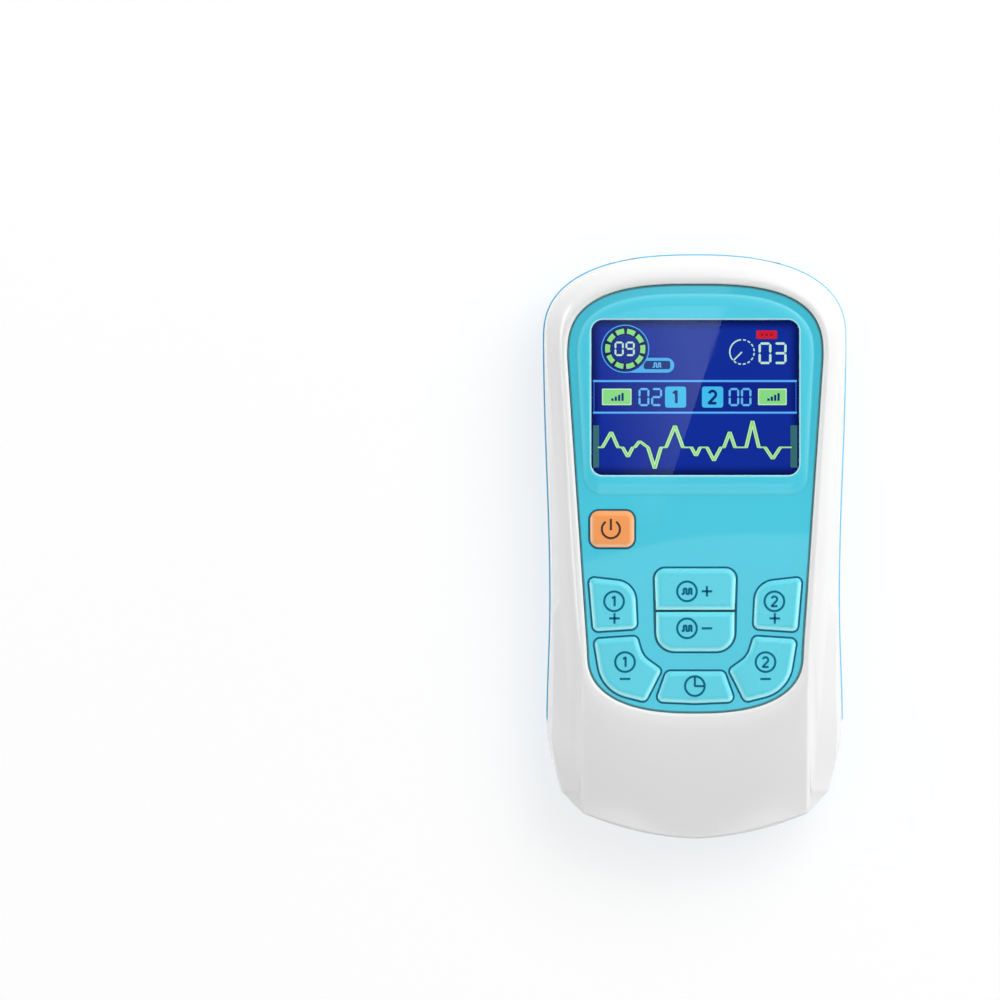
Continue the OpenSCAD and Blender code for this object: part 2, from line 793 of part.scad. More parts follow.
module display_ribbon() {
    y0 = window_y - glass_h / 2;
    z1 = glass_top_z - glass_t + 0.3;
    r = (z1 - board_top_z - ribbon_t) / 2;
    color("#C98B2B")
        translate([-ribbon_w / 2, 0, 0])
            rotate([90, 0, 90])
                linear_extrude(ribbon_w) {
                    translate([y0 - 1.8, z1])
                        square([1.75, ribbon_t]);
                    difference() {
                        translate([y0 - 1.8, z1 + ribbon_t - r - ribbon_t])
                            circle(r = r + ribbon_t);
                        translate([y0 - 1.8, z1 - r])
                            circle(r = r);
                        translate([y0 - 1.8, board_top_z - 1])
                            square([r * 3, r * 4]);
                    }
                    translate([y0 - 1.8, board_top_z])
                        square([1.2, ribbon_t]);
                }
}

// ---- keys ----

// each corner is [x from the middle, y from the window's lower edge, corner radius]
power_key_pts = [[-25.15, -8.35, 2.3], [-14.25, -8.35, 2.3], [-14.25, -17.45, 2.3], [-25.15, -17.45, 2.3]];
mode_pts = [[-9.95, -22, 2.7], [9.95, -22, 2.7], [9.45, -42.1, 4.6], [-9.45, -42.1, 4.6]];
mode_split_y = -32.3;
mode_split = 0.35;
up_key_pts = [[-25.5, -24.1, 1.4], [-14.1, -25.4, 5], [-13.6, -36.8, 1.6], [-24.35, -37.6, 1.5]];
down_key_pts = [[-24.3, -39.2, 1.5], [-13.7, -38.4, 1.4], [-12.3, -42.9, 5], [-7.7, -46.2, 1.3],
    [-11.7, -54.5, 1.5], [-21.6, -51.5, 9]];
timer_key_pts = [[-7, -46.4, 1.6], [7, -46.4, 1.6], [9.7, -54, 1.5], [0, -54.4, 12], [-9.7, -54, 1.5]];
function on_right(pts) = [for (i = [len(pts) - 1 : -1 : 0]) [-pts[i][0], pts[i][1], pts[i][2]]];
function on_face(p) = [p[0] * field_stretch[0], window_low_y + p[1] * field_stretch[1]];
function face_outline(pts) = rounded([for (p = pts) [each on_face(p), p[2]]]);
// the two mode keys share one outline, which a narrow gap divides
function mode_edge(side) =
    let (y = mode_split_y + side * mode_split / 2, x = 9.5)
    [[side * x, y, 0.3], [-side * x, y, 0.3]];
mode_up_pts = [mode_pts[0], mode_pts[1], each mode_edge(1)];
mode_down_pts = [each mode_edge(-1), mode_pts[2], mode_pts[3]];
mode_pair = face_outline(mode_pts);

// name, outline, middle of its switch
KEYS = [
    ["power_key", face_outline(power_key_pts), on_face([-19.7, -12.9])],
    ["mode_up_key", face_outline(mode_up_pts), on_face([0, -27.3])],
    ["mode_down_key", face_outline(mode_down_pts), on_face([0, -37.3])],
    ["channel_1_up_key", face_outline(up_key_pts), on_face([-19.2, -31.3])],
    ["channel_1_down_key", face_outline(down_key_pts), on_face([-17, -45.3])],
    ["channel_2_up_key", face_outline(on_right(up_key_pts)), on_face([19.2, -31.3])],
    ["channel_2_down_key", face_outline(on_right(down_key_pts)), on_face([17, -45.3])],
    ["timer_key", face_outline(timer_key_pts), on_face([0, -50.1])]
];
function key_named(name) = [for (k = KEYS) if (k[0] == name) k][0];
key_top_z = panel_z + key_proud;
key_edge = 0.45;

// the flange keeps clear of the other keys' flanges and of the ledge
module key_flange(key) {
    intersection() {
        union() {
            polygon(key[1]);
            difference() {
                polygon(inward(key[1], -key_flange_w));
                for (other = KEYS)
                    if (other[0] != key[0])
                        polygon(inward(other[1], -key_flange_w - seat_gap));
            }
        }
        polygon(inward(panel_outline, ledge_w + key_gap));
    }
}

module key_piece(name, tint) {
    key = key_named(name);
    color(tint) {
        skin([
            at_z(key[1], flange_top_z - key_flange_t / 2),
            at_z(key[1], key_top_z - key_edge),
            at_z(inward(key[1], key_edge * 0.3), key_top_z - key_edge * 0.3),
            at_z(inward(key[1], key_edge), key_top_z)
        ]);
        translate([0, 0, flange_top_z - key_flange_t])
            linear_extrude(key_flange_t)
                key_flange(key);
    }
}

module power_key() { key_piece("power_key", "#F0A062"); }
module mode_up_key() { key_piece("mode_up_key", "#62D3E4"); }
module mode_down_key() { key_piece("mode_down_key", "#62D3E4"); }
module channel_1_up_key() { key_piece("channel_1_up_key", "#62D3E4"); }
module channel_1_down_key() { key_piece("channel_1_down_key", "#62D3E4"); }
module channel_2_up_key() { key_piece("channel_2_up_key", "#62D3E4"); }
module channel_2_down_key() { key_piece("channel_2_down_key", "#62D3E4"); }
module timer_key() { key_piece("timer_key", "#62D3E4"); }

switch_w = 4.5;

module keypad_mat() {
    color("#D9D9D6")
        translate([0, 0, mat_z])
            linear_extrude(mat_t)
                intersection() {
                    polygon(inward(panel_outline, ledge_w + 1));
                    translate([-panel_w / 2, panel_low_y])
                        square([panel_w, window_y - holder_h / 2 - 4 - panel_low_y]);
                }
}

module key_switches() {
    color("#3A3A3C")
        for (k = KEYS)
            translate([k[2][0], k[2][1], board_top_z]) {
                translate([-switch_w / 2, -switch_w / 2, 0])
                    cube([switch_w, switch_w, switch_t]);
                cylinder(d = 2.2, h = switch_t + plunger_t);
            }
}

// ---- main board and what it carries ----

board_half_w = 27.4;
board_tongue_w = 42;

module main_board() {
    y0 = panel_low_y + 1;
    y1 = window_y + holder_h / 2 + slip;
    y2 = top_y - 6.5;
    foot_y = y0 + 12;
    foot_in = 1.5;
    color("#1F7A4A")
        translate([0, 0, board_z])
            difference() {
                linear_extrude(board_t)
                    polygon(rounded([
                        [-board_half_w, y1, 1.5], [-board_tongue_w / 2, y1, 0.5],
                        [-board_tongue_w / 2, y2, 2], [board_tongue_w / 2, y2, 2],
                        [board_tongue_w / 2, y1, 0.5], [board_half_w, y1, 1.5],
                        [board_half_w, foot_y, 3], [board_half_w - foot_in, y0, 3],
                        [-board_half_w + foot_in, y0, 3], [-board_half_w, foot_y, 3]
                    ], 3));
                for (p = board_screws_at)
                    translate([p[0], p[1], -1])
                        cylinder(d = board_screw_d + 2 * seat_gap, h = board_t + 2);
            }
}

socket_face_y = top_y - 2.9;
collar_len = 4.2;
socket_body_w = 8.2;
socket_body_len = 8.4;
socket_body_low = 4;

module socket(side) {
    color("#2B2D30")
        translate([side * socket_pitch / 2, socket_face_y, seam_z])
            rotate([90, 0, 0])
                difference() {
                    union() {
                        rotate_extrude()
                            polygon([[0, 0], [socket_collar_d / 2 - 0.4, 0], [socket_collar_d / 2, 0.4],
                                [socket_collar_d / 2, collar_len + 1], [0, collar_len + 1]]);
                        translate([-socket_body_w / 2, -socket_body_low, collar_len])
                            cube([socket_body_w, board_z - seam_z + socket_body_low, socket_body_len]);
                    }
                    translate([0, 0, -1])
                        cylinder(d = socket_bore, h = socket_depth + 1);
                }
}

module socket_springs() {
    y = socket_face_y - collar_len - socket_body_len;
    color("#C9A24B")
        for (s = [-1, 1], x = [-2, 2])
            translate([s * socket_pitch / 2 + x - 0.5, y - 0.4, seam_z - 2])
                cube([1, 0.4, board_z - seam_z + 2]);
}

// what hangs under the board, between the display and the sockets
transformer_at = [12, window_y - 9];
module transformer(side) {
    w = 13;
    l = 12;
    h = 8;
    core_t = 2.4;
    foot_t = 0.8;
    translate([side * transformer_at[0], transformer_at[1], board_z - h]) {
        color("#3B3B3F")
            for (y = [-l / 2, l / 2 - core_t])
                translate([-w / 2, y, foot_t])
                    cube([w, core_t, h - 2 * foot_t]);
        color("#B5642C")
            translate([0, l / 2 - core_t, h / 2])
                rotate([90, 0, 0])
                    cylinder(d = h - 1, h = l - 2 * core_t);
        color("#202020")
            translate([-w / 2 + 1, -l / 2, h - foot_t])
                cube([w - 2, l, foot_t]);
    }
}

module controller_chip() {
    w = 10;
    body_t = 1.25;
    stand_off = 0.15;
    pin_pitch = 1.1;
    pin_w = 0.5;
    pin_len = 1.2;
    pin_h = 0.8;
    color("#1B1C1E")
        translate([0, window_y - 26, board_z - body_t - stand_off]) {
            translate([-w / 2, -w / 2, 0])
                cube([w, w, body_t]);
            for (a = [0 : 90 : 270], i = [-3.5 : 3.5])
                rotate([0, 0, a])
                    translate([i * pin_pitch - pin_w / 2, w / 2 - 0.2, body_t + stand_off - pin_h])
                        cube([pin_w, pin_len, pin_h]);
        }
}

sound_parts_y = window_y + 8.6;
module capacitors() {
    r = 3.15;
    h = 7;
    lip_r = 1.6;
    edge = 0.3;
    neck_z = 5.8;
    color("#2F3C66")
        for (s = [-1, 1])
            translate([s * 13, sound_parts_y, board_z - h])
                rotate_extrude()
                    polygon([[0, edge], [lip_r, edge], [lip_r + edge, 0], [r - edge, 0], [r, edge],
                        [r, neck_z - edge], [r - edge, neck_z], [r - edge, neck_z + edge],
                        [r, neck_z + 2 * edge], [r, h], [0, h]]);
}

module buzzer() {
    r = 6;
    h = 6;
    edge = 0.4;
    sound_hole_r = 1;
    color("#18191B")
        translate([0, sound_parts_y, board_z - h])
            rotate_extrude()
                polygon([[sound_hole_r, 0], [r - edge, 0], [r, edge], [r, h], [0, h],
                    [0, 2 * edge], [sound_hole_r, 2 * edge]]);
}

front_shell();
back_shell();
face_panel();
display_window();
display_glass();
display_holder();
display_gasket();
backlight();
display_ribbon();
power_key();
mode_up_key();
mode_down_key();
channel_1_up_key();
channel_1_down_key();
channel_2_up_key();
channel_2_down_key();
timer_key();
keypad_mat();
key_switches();
main_board();
socket(-1);  // socket_left
socket(1);  // socket_right
socket_springs();
transformer(-1);  // transformer_left
transformer(1);  // transformer_right
controller_chip();
capacitors();
buzzer();
battery_door();
cell(0);  // cell_left
cell(1);  // cell_middle
cell(2);  // cell_right
battery_springs();
battery_plates();
case_screw(case_screws[0]);  // case_screw_1
case_screw(case_screws[1]);  // case_screw_2
case_screw(case_screws[2]);  // case_screw_3
case_screw(case_screws[3]);  // case_screw_4
board_screws();
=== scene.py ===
"""The visual model of a handheld two-channel unit lying on its back, and the stage it lies on."""

import math

import bpy
import numpy as np
from bpy.props import FloatProperty, FloatVectorProperty, IntProperty, PointerProperty
from bpy.types import Operator, Panel, PropertyGroup
from mathutils import Matrix, Vector


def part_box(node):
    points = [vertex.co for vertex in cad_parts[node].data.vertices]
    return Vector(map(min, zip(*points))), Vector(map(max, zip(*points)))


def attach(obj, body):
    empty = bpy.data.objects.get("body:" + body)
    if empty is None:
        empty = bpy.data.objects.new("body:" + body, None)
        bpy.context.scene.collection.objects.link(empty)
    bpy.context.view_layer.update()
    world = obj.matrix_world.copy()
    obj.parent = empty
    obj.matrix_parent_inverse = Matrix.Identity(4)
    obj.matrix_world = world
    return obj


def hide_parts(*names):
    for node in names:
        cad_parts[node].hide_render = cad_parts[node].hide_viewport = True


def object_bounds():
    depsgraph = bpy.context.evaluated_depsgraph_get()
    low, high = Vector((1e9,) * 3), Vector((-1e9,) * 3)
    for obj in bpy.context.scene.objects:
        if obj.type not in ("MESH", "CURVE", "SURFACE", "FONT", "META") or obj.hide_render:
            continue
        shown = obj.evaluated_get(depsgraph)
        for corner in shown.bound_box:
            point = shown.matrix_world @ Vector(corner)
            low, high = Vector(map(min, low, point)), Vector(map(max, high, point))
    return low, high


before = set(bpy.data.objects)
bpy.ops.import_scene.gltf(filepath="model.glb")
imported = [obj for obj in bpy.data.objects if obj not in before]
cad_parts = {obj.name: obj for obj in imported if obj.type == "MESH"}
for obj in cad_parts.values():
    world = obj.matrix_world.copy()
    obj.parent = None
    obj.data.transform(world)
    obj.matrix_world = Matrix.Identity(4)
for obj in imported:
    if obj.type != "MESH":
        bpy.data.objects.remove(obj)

bl_info = {
    "name": "Two-channel handheld unit",
    "version": (1, 0, 0),
    "blender": (4, 5, 0),
    "location": "3D Viewport > Sidebar > Unit",
    "description": "Builds the shells, panel, keys, display and fittings of a handheld unit on its CAD frame",
    "category": "Object",
}

CAD_BOX = [list(corner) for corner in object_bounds()]
MM = 0.001
HOUSING = "housing"
SCREWS = [f"case_screw_{k}" for k in (1, 2, 3, 4)]
# edges that turn by more than this many degrees stay sharp
SHARP = 34


# ---- sizes and colours a user may change ----


def rgb(code):
    """A colour written as six hex digits, as linear values."""
    parts = [int(code[i : i + 2], 16) / 255 for i in (0, 2, 4)]
    return tuple(c / 12.92 if c <= 0.04045 else ((c + 0.055) / 1.055) ** 2.4 for c in parts)


def length(name, description, default, low=0.0, high=1.0):
    return FloatProperty(name=name, description=description, default=default, min=low, max=high,
                         unit="LENGTH", subtype="DISTANCE", precision=5)


def colour(name, description, code):
    return FloatVectorProperty(name=name, description=description, default=rgb(code), min=0, max=1,
                               size=3, subtype="COLOR")


class UnitSizes(PropertyGroup):
    seam_bevel: length("Seam bevel", "Bevel on both shells where they meet", 0.00014)
    crease_soft: length("Crease softness", "Rounding of the creases down the sides", 0.0007)
    cap_soft: length("Shoulder softness", "Rounding of the creases round the socket end", 0.0016)
    panel_bevel: length("Panel bevel", "Rounding of the face panel's edge", 0.00006)
    hood_slope: length("Hood slope", "Width of the soft slope round the hood", 0.0032)
    lip_width: length("Lip", "Width of the pale lip round the window", 0.00042)
    key_edge: length("Key edge", "Width of the rounding of a key's upper edge", 0.0014)
    key_crown: length("Key crown", "Height of the rounding of a key's upper edge", 0.0005)
    outline_width: length("Outline", "Width of the dark lines round the key holes", 0.00032)
    print_width: length("Print line", "Width of the printed lines on the keys", 0.00052)
    print_height: length("Print height", "How far the print stands over a key", 0.00003)
    trace_width: length("Trace line", "Width of the pulse line in the display", 0.00078)
    wire: length("Spring wire", "Thickness of the battery springs' wire", 0.0006)
    spring_turns: IntProperty(name="Spring turns", description="Turns of each battery spring",
                              default=5, min=3, max=9)
    grip_ribs: IntProperty(name="Grip ribs", description="Ribs on the battery door's latch",
                           default=4, min=2, max=8)


class UnitColours(PropertyGroup):
    shell: colour("Front shell", "White of the front shell", "EDEEED")
    back: colour("Back shell", "Blue of the back shell and the battery door", "5CC0F0")
    panel: colour("Face panel", "Turquoise of the face panel", "48D2EA")
    key: colour("Keys", "Turquoise of the keys", "5AD9EC")
    power: colour("Power key", "Orange of the power key", "FFA35A")
    ink: colour("Print", "Teal of the print on the keys", "006C90")
    display: colour("Display", "Blue of the lit display", "132F9C")
    lit_green: colour("Lit green", "Green of the lit marks", "8CE08A")
    lit_blue: colour("Lit blue", "Pale blue of the lit figures", "66BDF6")


# ---- curves and outlines, in millimetres ----


def lerp(a, b, t):
    return a + (b - a) * t


def through(points, x):
    """A smooth curve through a short list of points, with flat ends."""
    xs, ys = zip(*points)
    if x <= xs[0] or x >= xs[-1]:
        return ys[0] if x <= xs[0] else ys[-1]
    i = next(k for k in range(len(xs) - 1) if x <= xs[k + 1])

    def slope(k):
        return 0 if k in (0, len(xs) - 1) else (ys[k + 1] - ys[k - 1]) / (xs[k + 1] - xs[k - 1])

    w = xs[i + 1] - xs[i]
    t = (x - xs[i]) / w
    return (ys[i] * (1 + 2 * t) * (1 - t) ** 2 + slope(i) * w * t * (1 - t) ** 2
            + ys[i + 1] * t * t * (3 - 2 * t) + slope(i + 1) * w * t * t * (t - 1))


def quarter(a, b, power, steps):
    """A quarter of a rounded end, from the middle line to the side."""
    t = np.linspace(0, math.pi / 2, steps + 1)
    return np.stack([a * np.sin(t) ** (2 / power), b * np.cos(t).clip(0) ** (2 / power)], 1)


def both_sides(half):
    """A half outline made whole, clockwise seen from above."""
    half = np.asarray(half, float)
    return np.concatenate([half, half[-2:0:-1] * [-1, 1]])


def mirrored(values):
    values = np.asarray(values, float)
    return np.concatenate([values, values[-2:0:-1]])


def inward(loop, d):
    """An outline moved inwards, point by point."""
    a = loop - np.roll(loop, 1, 0)
    a /= np.linalg.norm(a, axis=1)[:, None]
    b = np.roll(a, -1, 0)
    m = a + b
    k = d / np.maximum(0.5, (m * m).sum(1) / 4) / 2
    return loop + np.stack([m[:, 1], -m[:, 0]], 1) * np.broadcast_to(k, len(loop))[:, None]


def rounded(corners, steps=10):
    """A polygon given as x, y and corner radius, with arcs at its corners."""
    out = []
    n = len(corners)
    for i, corner in enumerate(corners):
        p, r = np.array(corner[:2], float), corner[2]
        u = np.array(corners[i - 1][:2]) - p
        v = np.array(corners[(i + 1) % n][:2]) - p
        u, v = u / np.linalg.norm(u), v / np.linalg.norm(v)
        half = math.acos(float(u @ v)) / 2
        c = p + (u + v) / np.linalg.norm(u + v) * r / math.sin(half)
        s, e = p + u * r / math.tan(half) - c, p + v * r / math.tan(half) - c
        a = math.atan2(s[1], s[0])
        turn = (math.atan2(e[1], e[0]) - a + 3 * math.pi) % (2 * math.pi) - math.pi
        out += [c + r * np.array([math.cos(a + turn * k / steps), math.sin(a + turn * k / steps)])
                for k in range(steps + 1)]
    return np.array(out)


def inset(corners, d):
    """The same corners with every side moved inwards, and their radii with it."""
    out = []
    for i, corner in enumerate(corners):
        p = np.array(corner[:2], float)
        a, b = p - np.array(corners[i - 1][:2]), np.array(corners[(i + 1) % len(corners)][:2]) - p
        a, b = a / np.linalg.norm(a), b / np.linalg.norm(b)
        m = a + b
        p = p + np.array([m[1], -m[0]]) * d * 2 / (m @ m)
        convex = a[0] * b[1] - a[1] * b[0] < 0
        out.append((p[0], p[1], max(0.05, corner[2] - d if convex else corner[2] + d)))
    return out


def box_outline(w, h, r):
    return [(-w / 2, h / 2, r), (w / 2, h / 2, r), (w / 2, -h / 2, r), (-w / 2, -h / 2, r)]


def at_z(loop, z):
    return np.column_stack([loop, np.broadcast_to(z, len(loop))])


# ---- the housing's lines, by the same rules as its CAD nodes ----


def corners_mm(node):
    low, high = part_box(node)
    return np.array(low) / MM, np.array(high) / MM


def middle_mm(node):
    low, high = corners_mm(node)
    return (low + high) / 2


# points along half an outline: the socket end, the side in two parts, the corner and the chin
CAP, FLANK, FACET, CUT, CHIN = 44, 44, 22, 4, 30
SIDE = FLANK + 1 + FACET
CORNER, LAST = CAP + SIDE + CUT, CAP + SIDE + CUT + CHIN
# the face panel's two rounded ends: their heights and how square they are
PANEL_CAP, PANEL_CAP_POWER = 17.3, 2.8
PANEL_FOOT, PANEL_FOOT_POWER = 14.5, 2.5
# the shells' walls, and how far the front shell's crest stands outside the panel
WALL, CREST_OUT = 2, 1.2
# how far the pocket for the panel stands outside it
POCKET_GAP = 0.02


class Housing:
    """The outlines of the two shells and of the face panel, read off the frame."""

    def __init__(self):
        low, high = np.array(CAD_BOX) / MM
        self.low_y, self.top_y = low[1], high[1]
        self.width, self.height = high[0] - low[0], high[2]
        self.seam_z = 12.5
        panel_low, panel_high = corners_mm("face_panel")
        self.panel_w = panel_high[0] - panel_low[0]
        self.panel_low_y, self.panel_top_y = panel_low[1], panel_high[1]
        self.ledge_z = panel_low[2]
        self.panel_z = corners_mm("display_window")[1][2] + 0.05
        window_low, window_high = corners_mm("display_window")
        flange = 1.1
        self.window_w = window_high[0] - window_low[0] - 2 * flange
        self.window_h = window_high[1] - window_low[1] - 2 * flange
        self.window_y = (window_low[1] + window_high[1]) / 2
        self.window_low_y = self.window_y - self.window_h / 2
        self.shoulder_y = self.top_y - 20
        self.facet_y = self.low_y + 56.7
        self.hip_y = self.low_y + 26.5
        self.corner_a = np.array([self.width / 2 - 4.15, self.low_y + 11.4])
        self.corner_b = np.array([self.width / 2 - 9.4, self.low_y + 6])
        self.panel_low_w = 51.3
        self.outline = both_sides(self.half_outline())
        self.panel = both_sides(self.half_panel())
        self.chin_share = np.array([through([(24, 1), (29, 0)], y - self.low_y) for y in self.outline[:, 1]])

    def side_y(self):
        upper = np.linspace(self.shoulder_y, self.facet_y, FLANK + 1)[1:]
        return np.concatenate([upper, np.linspace(self.facet_y - 3.3, self.corner_a[1], FACET + 1)])

    def side_in(self, y):
        """How far the outline stands in from the shoulder line."""
        waist, hip = 1.5, 0.8
        if y > self.facet_y:
            t = (self.shoulder_y - y) / (self.shoulder_y - self.facet_y)
            return waist * math.sin(math.pi / 2 * t) ** 2
        if y > self.hip_y:
            t = (self.facet_y - y) / (self.facet_y - self.hip_y)
            return lerp(waist, hip, math.sin(math.pi / 2 * t) ** 2)
        reach = (self.hip_y - y) / (self.hip_y - self.corner_a[1])
        return lerp(hip, self.width / 2 - self.corner_a[0], reach ** 1.3)

    def crease_in(self, y):
        return through([(6, 9.4), (12, 8.45), (22, 7.4), (30, 6.35), (57, 4.45), (96, 2.4), (119, 0.9)],
                       y - self.low_y)

    def low_crease_in(self, y):
        return through([(11.4, 4.3), (16, 3.2), (23, 2.35), (39, 2.55), (53.4, 2.35)], y - self.low_y)

    def low_crease_z(self, y):
        return self.seam_z + through([(11.4, 5), (30, 6.8), (53.4, 7.8)], y - self.low_y)

    def half_outline(self):
        cap = quarter(self.width / 2, self.top_y - self.shoulder_y, 2.45, CAP) + [0, self.shoulder_y]
        side = [(self.width / 2 - self.side_in(y), y) for y in self.side_y()]
        cut = [lerp(self.corner_a, self.corner_b, i / CUT) for i in range(1, CUT + 1)]
        chin = []
        for i in range(1, CHIN + 1):
            x = self.corner_b[0] * (1 - i / CHIN)
            t = x / self.corner_b[0]
            chin.append((x, lerp(self.low_y, self.corner_b[1], t ** 1.9 * 0.94 + t * 0.06)))
        return np.concatenate([cap, side, cut, chin])

    def half_panel(self):
        cap = quarter(self.panel_w / 2, PANEL_CAP, PANEL_CAP_POWER, CAP) + [0, self.panel_top_y - PANEL_CAP]
        side = []
        for y in self.side_y():
            t = (self.shoulder_y - y) / (self.shoulder_y - self.corner_a[1])
            side.append((lerp(self.panel_w, self.panel_low_w, t) / 2,
                         lerp(self.panel_top_y - PANEL_CAP, self.panel_low_y + PANEL_FOOT, t)))
        foot = quarter(self.panel_low_w / 2, PANEL_FOOT, PANEL_FOOT_POWER, CUT + CHIN)[::-1][1:]
        foot = np.stack([foot[:, 0], self.panel_low_y + PANEL_FOOT - foot[:, 1]], 1)
        return np.concatenate([cap, side, foot])

    def wall_rows(self):
        """The wall's top, middle line, lower and upper crease as loops, and the heights of the crest."""
        half = self.outline[: LAST + 1]
        edges = {d: inward(self.outline, d) for d in (0.05, 0.35, 0.4, 0.9)}
        drops = [(6, 5.8), (12, 5.2), (30, 4), (57, 3.35), (119, 3.4)]
        rows = []
        for i in range(LAST + 1):
            y = half[i][1]
            flank, chin = i <= CAP + FLANK, (i - CORNER) / CHIN
            share = max(0, i - CAP - SIDE) / (CUT + CHIN)
            if i <= CAP:
                top = edges[0.9][i]
            elif i < CORNER:
                top = np.array([self.width / 2 - self.crease_in(y), y])
            else:
                top = edges[0.4][i]
            middle = edges[0.35][i] if i <= CAP else lerp(half[i], top, 0.35)
            wall_z, middle_z = self.seam_z + 3 + 1.5 * share, self.seam_z + 6.3
            if i <= CAP + SIDE:
                top_z = self.height - through(drops, top[1] - self.low_y)
            else:
                top_z = self.height - lerp(5.8, 5, max(0, chin))
            if flank:
                low, low_z = lerp(middle, top, 0.85), lerp(middle_z, top_z, 0.85)
            elif i < CAP + SIDE:
                low, low_z = np.array([self.width / 2 - self.low_crease_in(y), y]), self.low_crease_z(y)
            else:
                low, low_z = edges[0.05][i], self.height - lerp(6.3, 5.5, chin)
                if i <= CORNER:
                    start_z = self.low_crease_z(self.corner_a[1])
                    low_z = lerp(start_z, self.height - 6.3, (i - CAP - SIDE) / CUT)
            if not flank:
                middle, middle_z = lerp(half[i], low, 0.5), lerp(wall_z, low_z, 0.5)
            rows.append([(*half[i], wall_z), (*middle, middle_z), (*low, low_z), (*top, top_z)])
        rows = np.array(rows).transpose(1, 0, 2)
        whole = [np.concatenate([row, row[-2:0:-1] * [-1, 1, 1]]) for row in rows]
        crest = self.height - 0.35 * np.clip((np.arange(LAST + 1) - CAP - SIDE) / (CUT + CHIN), 0, 1)
        return whole, mirrored(crest)

    def bulge(self):
        """How much the front shell's face bulges between the crease and the crest."""
        i = np.arange(LAST + 1)
        cap = lerp(1.9, 1.35, i / CAP)
        side = lerp(1.35, 1.5, (i - CAP) / SIDE)
        return mirrored(np.where(i <= CAP, cap, np.where(i <= CAP + SIDE, side, 1.8)))


# ---- mesh helpers ----


def raw_object(name, points, faces=(), edges=()):
    mesh = bpy.data.meshes.new(name)
    points = np.asarray(points, float) * MM
    mesh.from_pydata([tuple(p) for p in points], list(edges), [list(f) for f in faces])
    mesh.update()
    obj = bpy.data.objects.new(name, mesh)
    bpy.context.scene.collection.objects.link(obj)
    return obj


def skin(n, m, first=0, ring=False):
    """The faces over m loops of n points. The ends are closed, or the last loop meets the first in a ring."""
    faces = [[j * n + i, (j + 1) % m * n + i, (j + 1) % m * n + (i + 1) % n, j * n + (i + 1) % n]
             for j in range(m if ring else m - 1) for i in range(n)]
    if not ring:
        faces += [range(n), range(m * n - 1, (m - 1) * n - 1, -1)]
    return [[first + v for v in face] for face in faces]


def loft(name, loops, ring=False):
    """A skin over loops of equally many points, clockwise seen from above and rising outside."""
    return raw_object(name, np.concatenate(loops), skin(len(loops[0]), len(loops), 0, ring))


def soften(rows, index, reach, steps=5):
    """Rounds one row of a loft: reach is how far the rounding runs to either side."""
    before, here, after = rows[index - 1], rows[index], rows[index + 1]
    a, b = before - here, after - here
    la, lb = np.linalg.norm(a, axis=1)[:, None], np.linalg.norm(b, axis=1)[:, None]
    reach = np.broadcast_to(reach, len(here))[:, None]
    start = here + a / la.clip(1e-6) * np.minimum(reach, 0.45 * la)
    end = here + b / lb.clip(1e-6) * np.minimum(reach, 0.9 * lb)
    ts = np.linspace(0, 1, steps)
    rows[index : index + 1] = [(1 - t) ** 2 * start + 2 * t * (1 - t) * here + t * t * end for t in ts]


def soften_corner(rows, index, share):
    """Rounds a corner that every loop has at one point, on both sides of the housing."""
    out = []
    for loop in rows:
        loop = np.asarray(loop, float)
        n = len(loop)
        pieces = []
        for k, p in enumerate(loop):
            if k in (index, n - index):
                a, b = lerp(p, loop[k - 1], share), lerp(p, loop[(k + 1) % n], share)
                pieces += [a, (a * 5 + p * 6 + b) / 12, (a + p * 2 + b) / 4, (b * 5 + p * 6 + a) / 12, b]
            else:
                pieces.append(p)
        out.append(np.array(pieces))
    return out


def prism(name, outlines, z0, z1, bevel=0.0, steps=3):
    """Straight-sided plates from outlines that run clockwise, with a rounded upper edge."""
    points, faces = [], []
    for outline in outlines:
        outline = np.asarray(outline, float)
        loops = [at_z(outline, z0), at_z(outline, z1 - bevel)]
        if bevel:
            for t in np.linspace(0, math.pi / 2, steps + 1)[1:]:
                loops.append(at_z(inward(outline, bevel * (1 - math.cos(t))), z1 - bevel * (1 - math.sin(t))))
        faces += skin(len(outline), len(loops), len(points))
        points += [p for loop in loops for p in loop]
    return raw_object(name, points, faces)


def box_solid(name, low, high):
    x0, y0, z0 = low
    x1, y1, z1 = high
    return prism(name, [[(x0, y0), (x0, y1), (x1, y1), (x1, y0)]], z0, z1)


def rod(name, centre, r, z0, z1, sides=64):
    angles = -np.linspace(0, 2 * math.pi, sides, endpoint=False)
    return prism(name, [np.stack([np.cos(angles), np.sin(angles)], 1) * r + centre], z0, z1)


def turn_to_y(obj, y0, z0):
    """Lays a solid made along +Z down, so that it runs along +Y from y0 at height z0."""
    for v in obj.data.vertices:
        x, y, z = v.co
        v.co = (x, z + y0 * MM, z0 * MM - y)
    return obj


def bake(obj):
    """Turns what the modifiers make into the object's own mesh."""
    graph = bpy.context.evaluated_depsgraph_get()
    mesh = bpy.data.meshes.new_from_object(obj.evaluated_get(graph))
    obj.modifiers.clear()
    old, obj.data = obj.data, mesh
    bpy.data.meshes.remove(old)
    mesh.name = obj.name
    return obj


def drop(obj):
    mesh = obj.data
    bpy.data.objects.remove(obj)
    if mesh.users == 0:
        bpy.data.meshes.remove(mesh)


def carve(obj, operation, *tools):
    """Cuts the tools off, fuses them on, or keeps what lies inside them, and removes them."""
    for tool in tools:
        step = obj.modifiers.new("carve", "BOOLEAN")
        step.solver = "MANIFOLD"
        step.operation = operation
        step.object = tool
    bake(obj)
    for tool in tools:
        drop(tool)
    if not obj.data.polygons:
        raise RuntimeError(f"{obj.name} came out empty")
    return obj


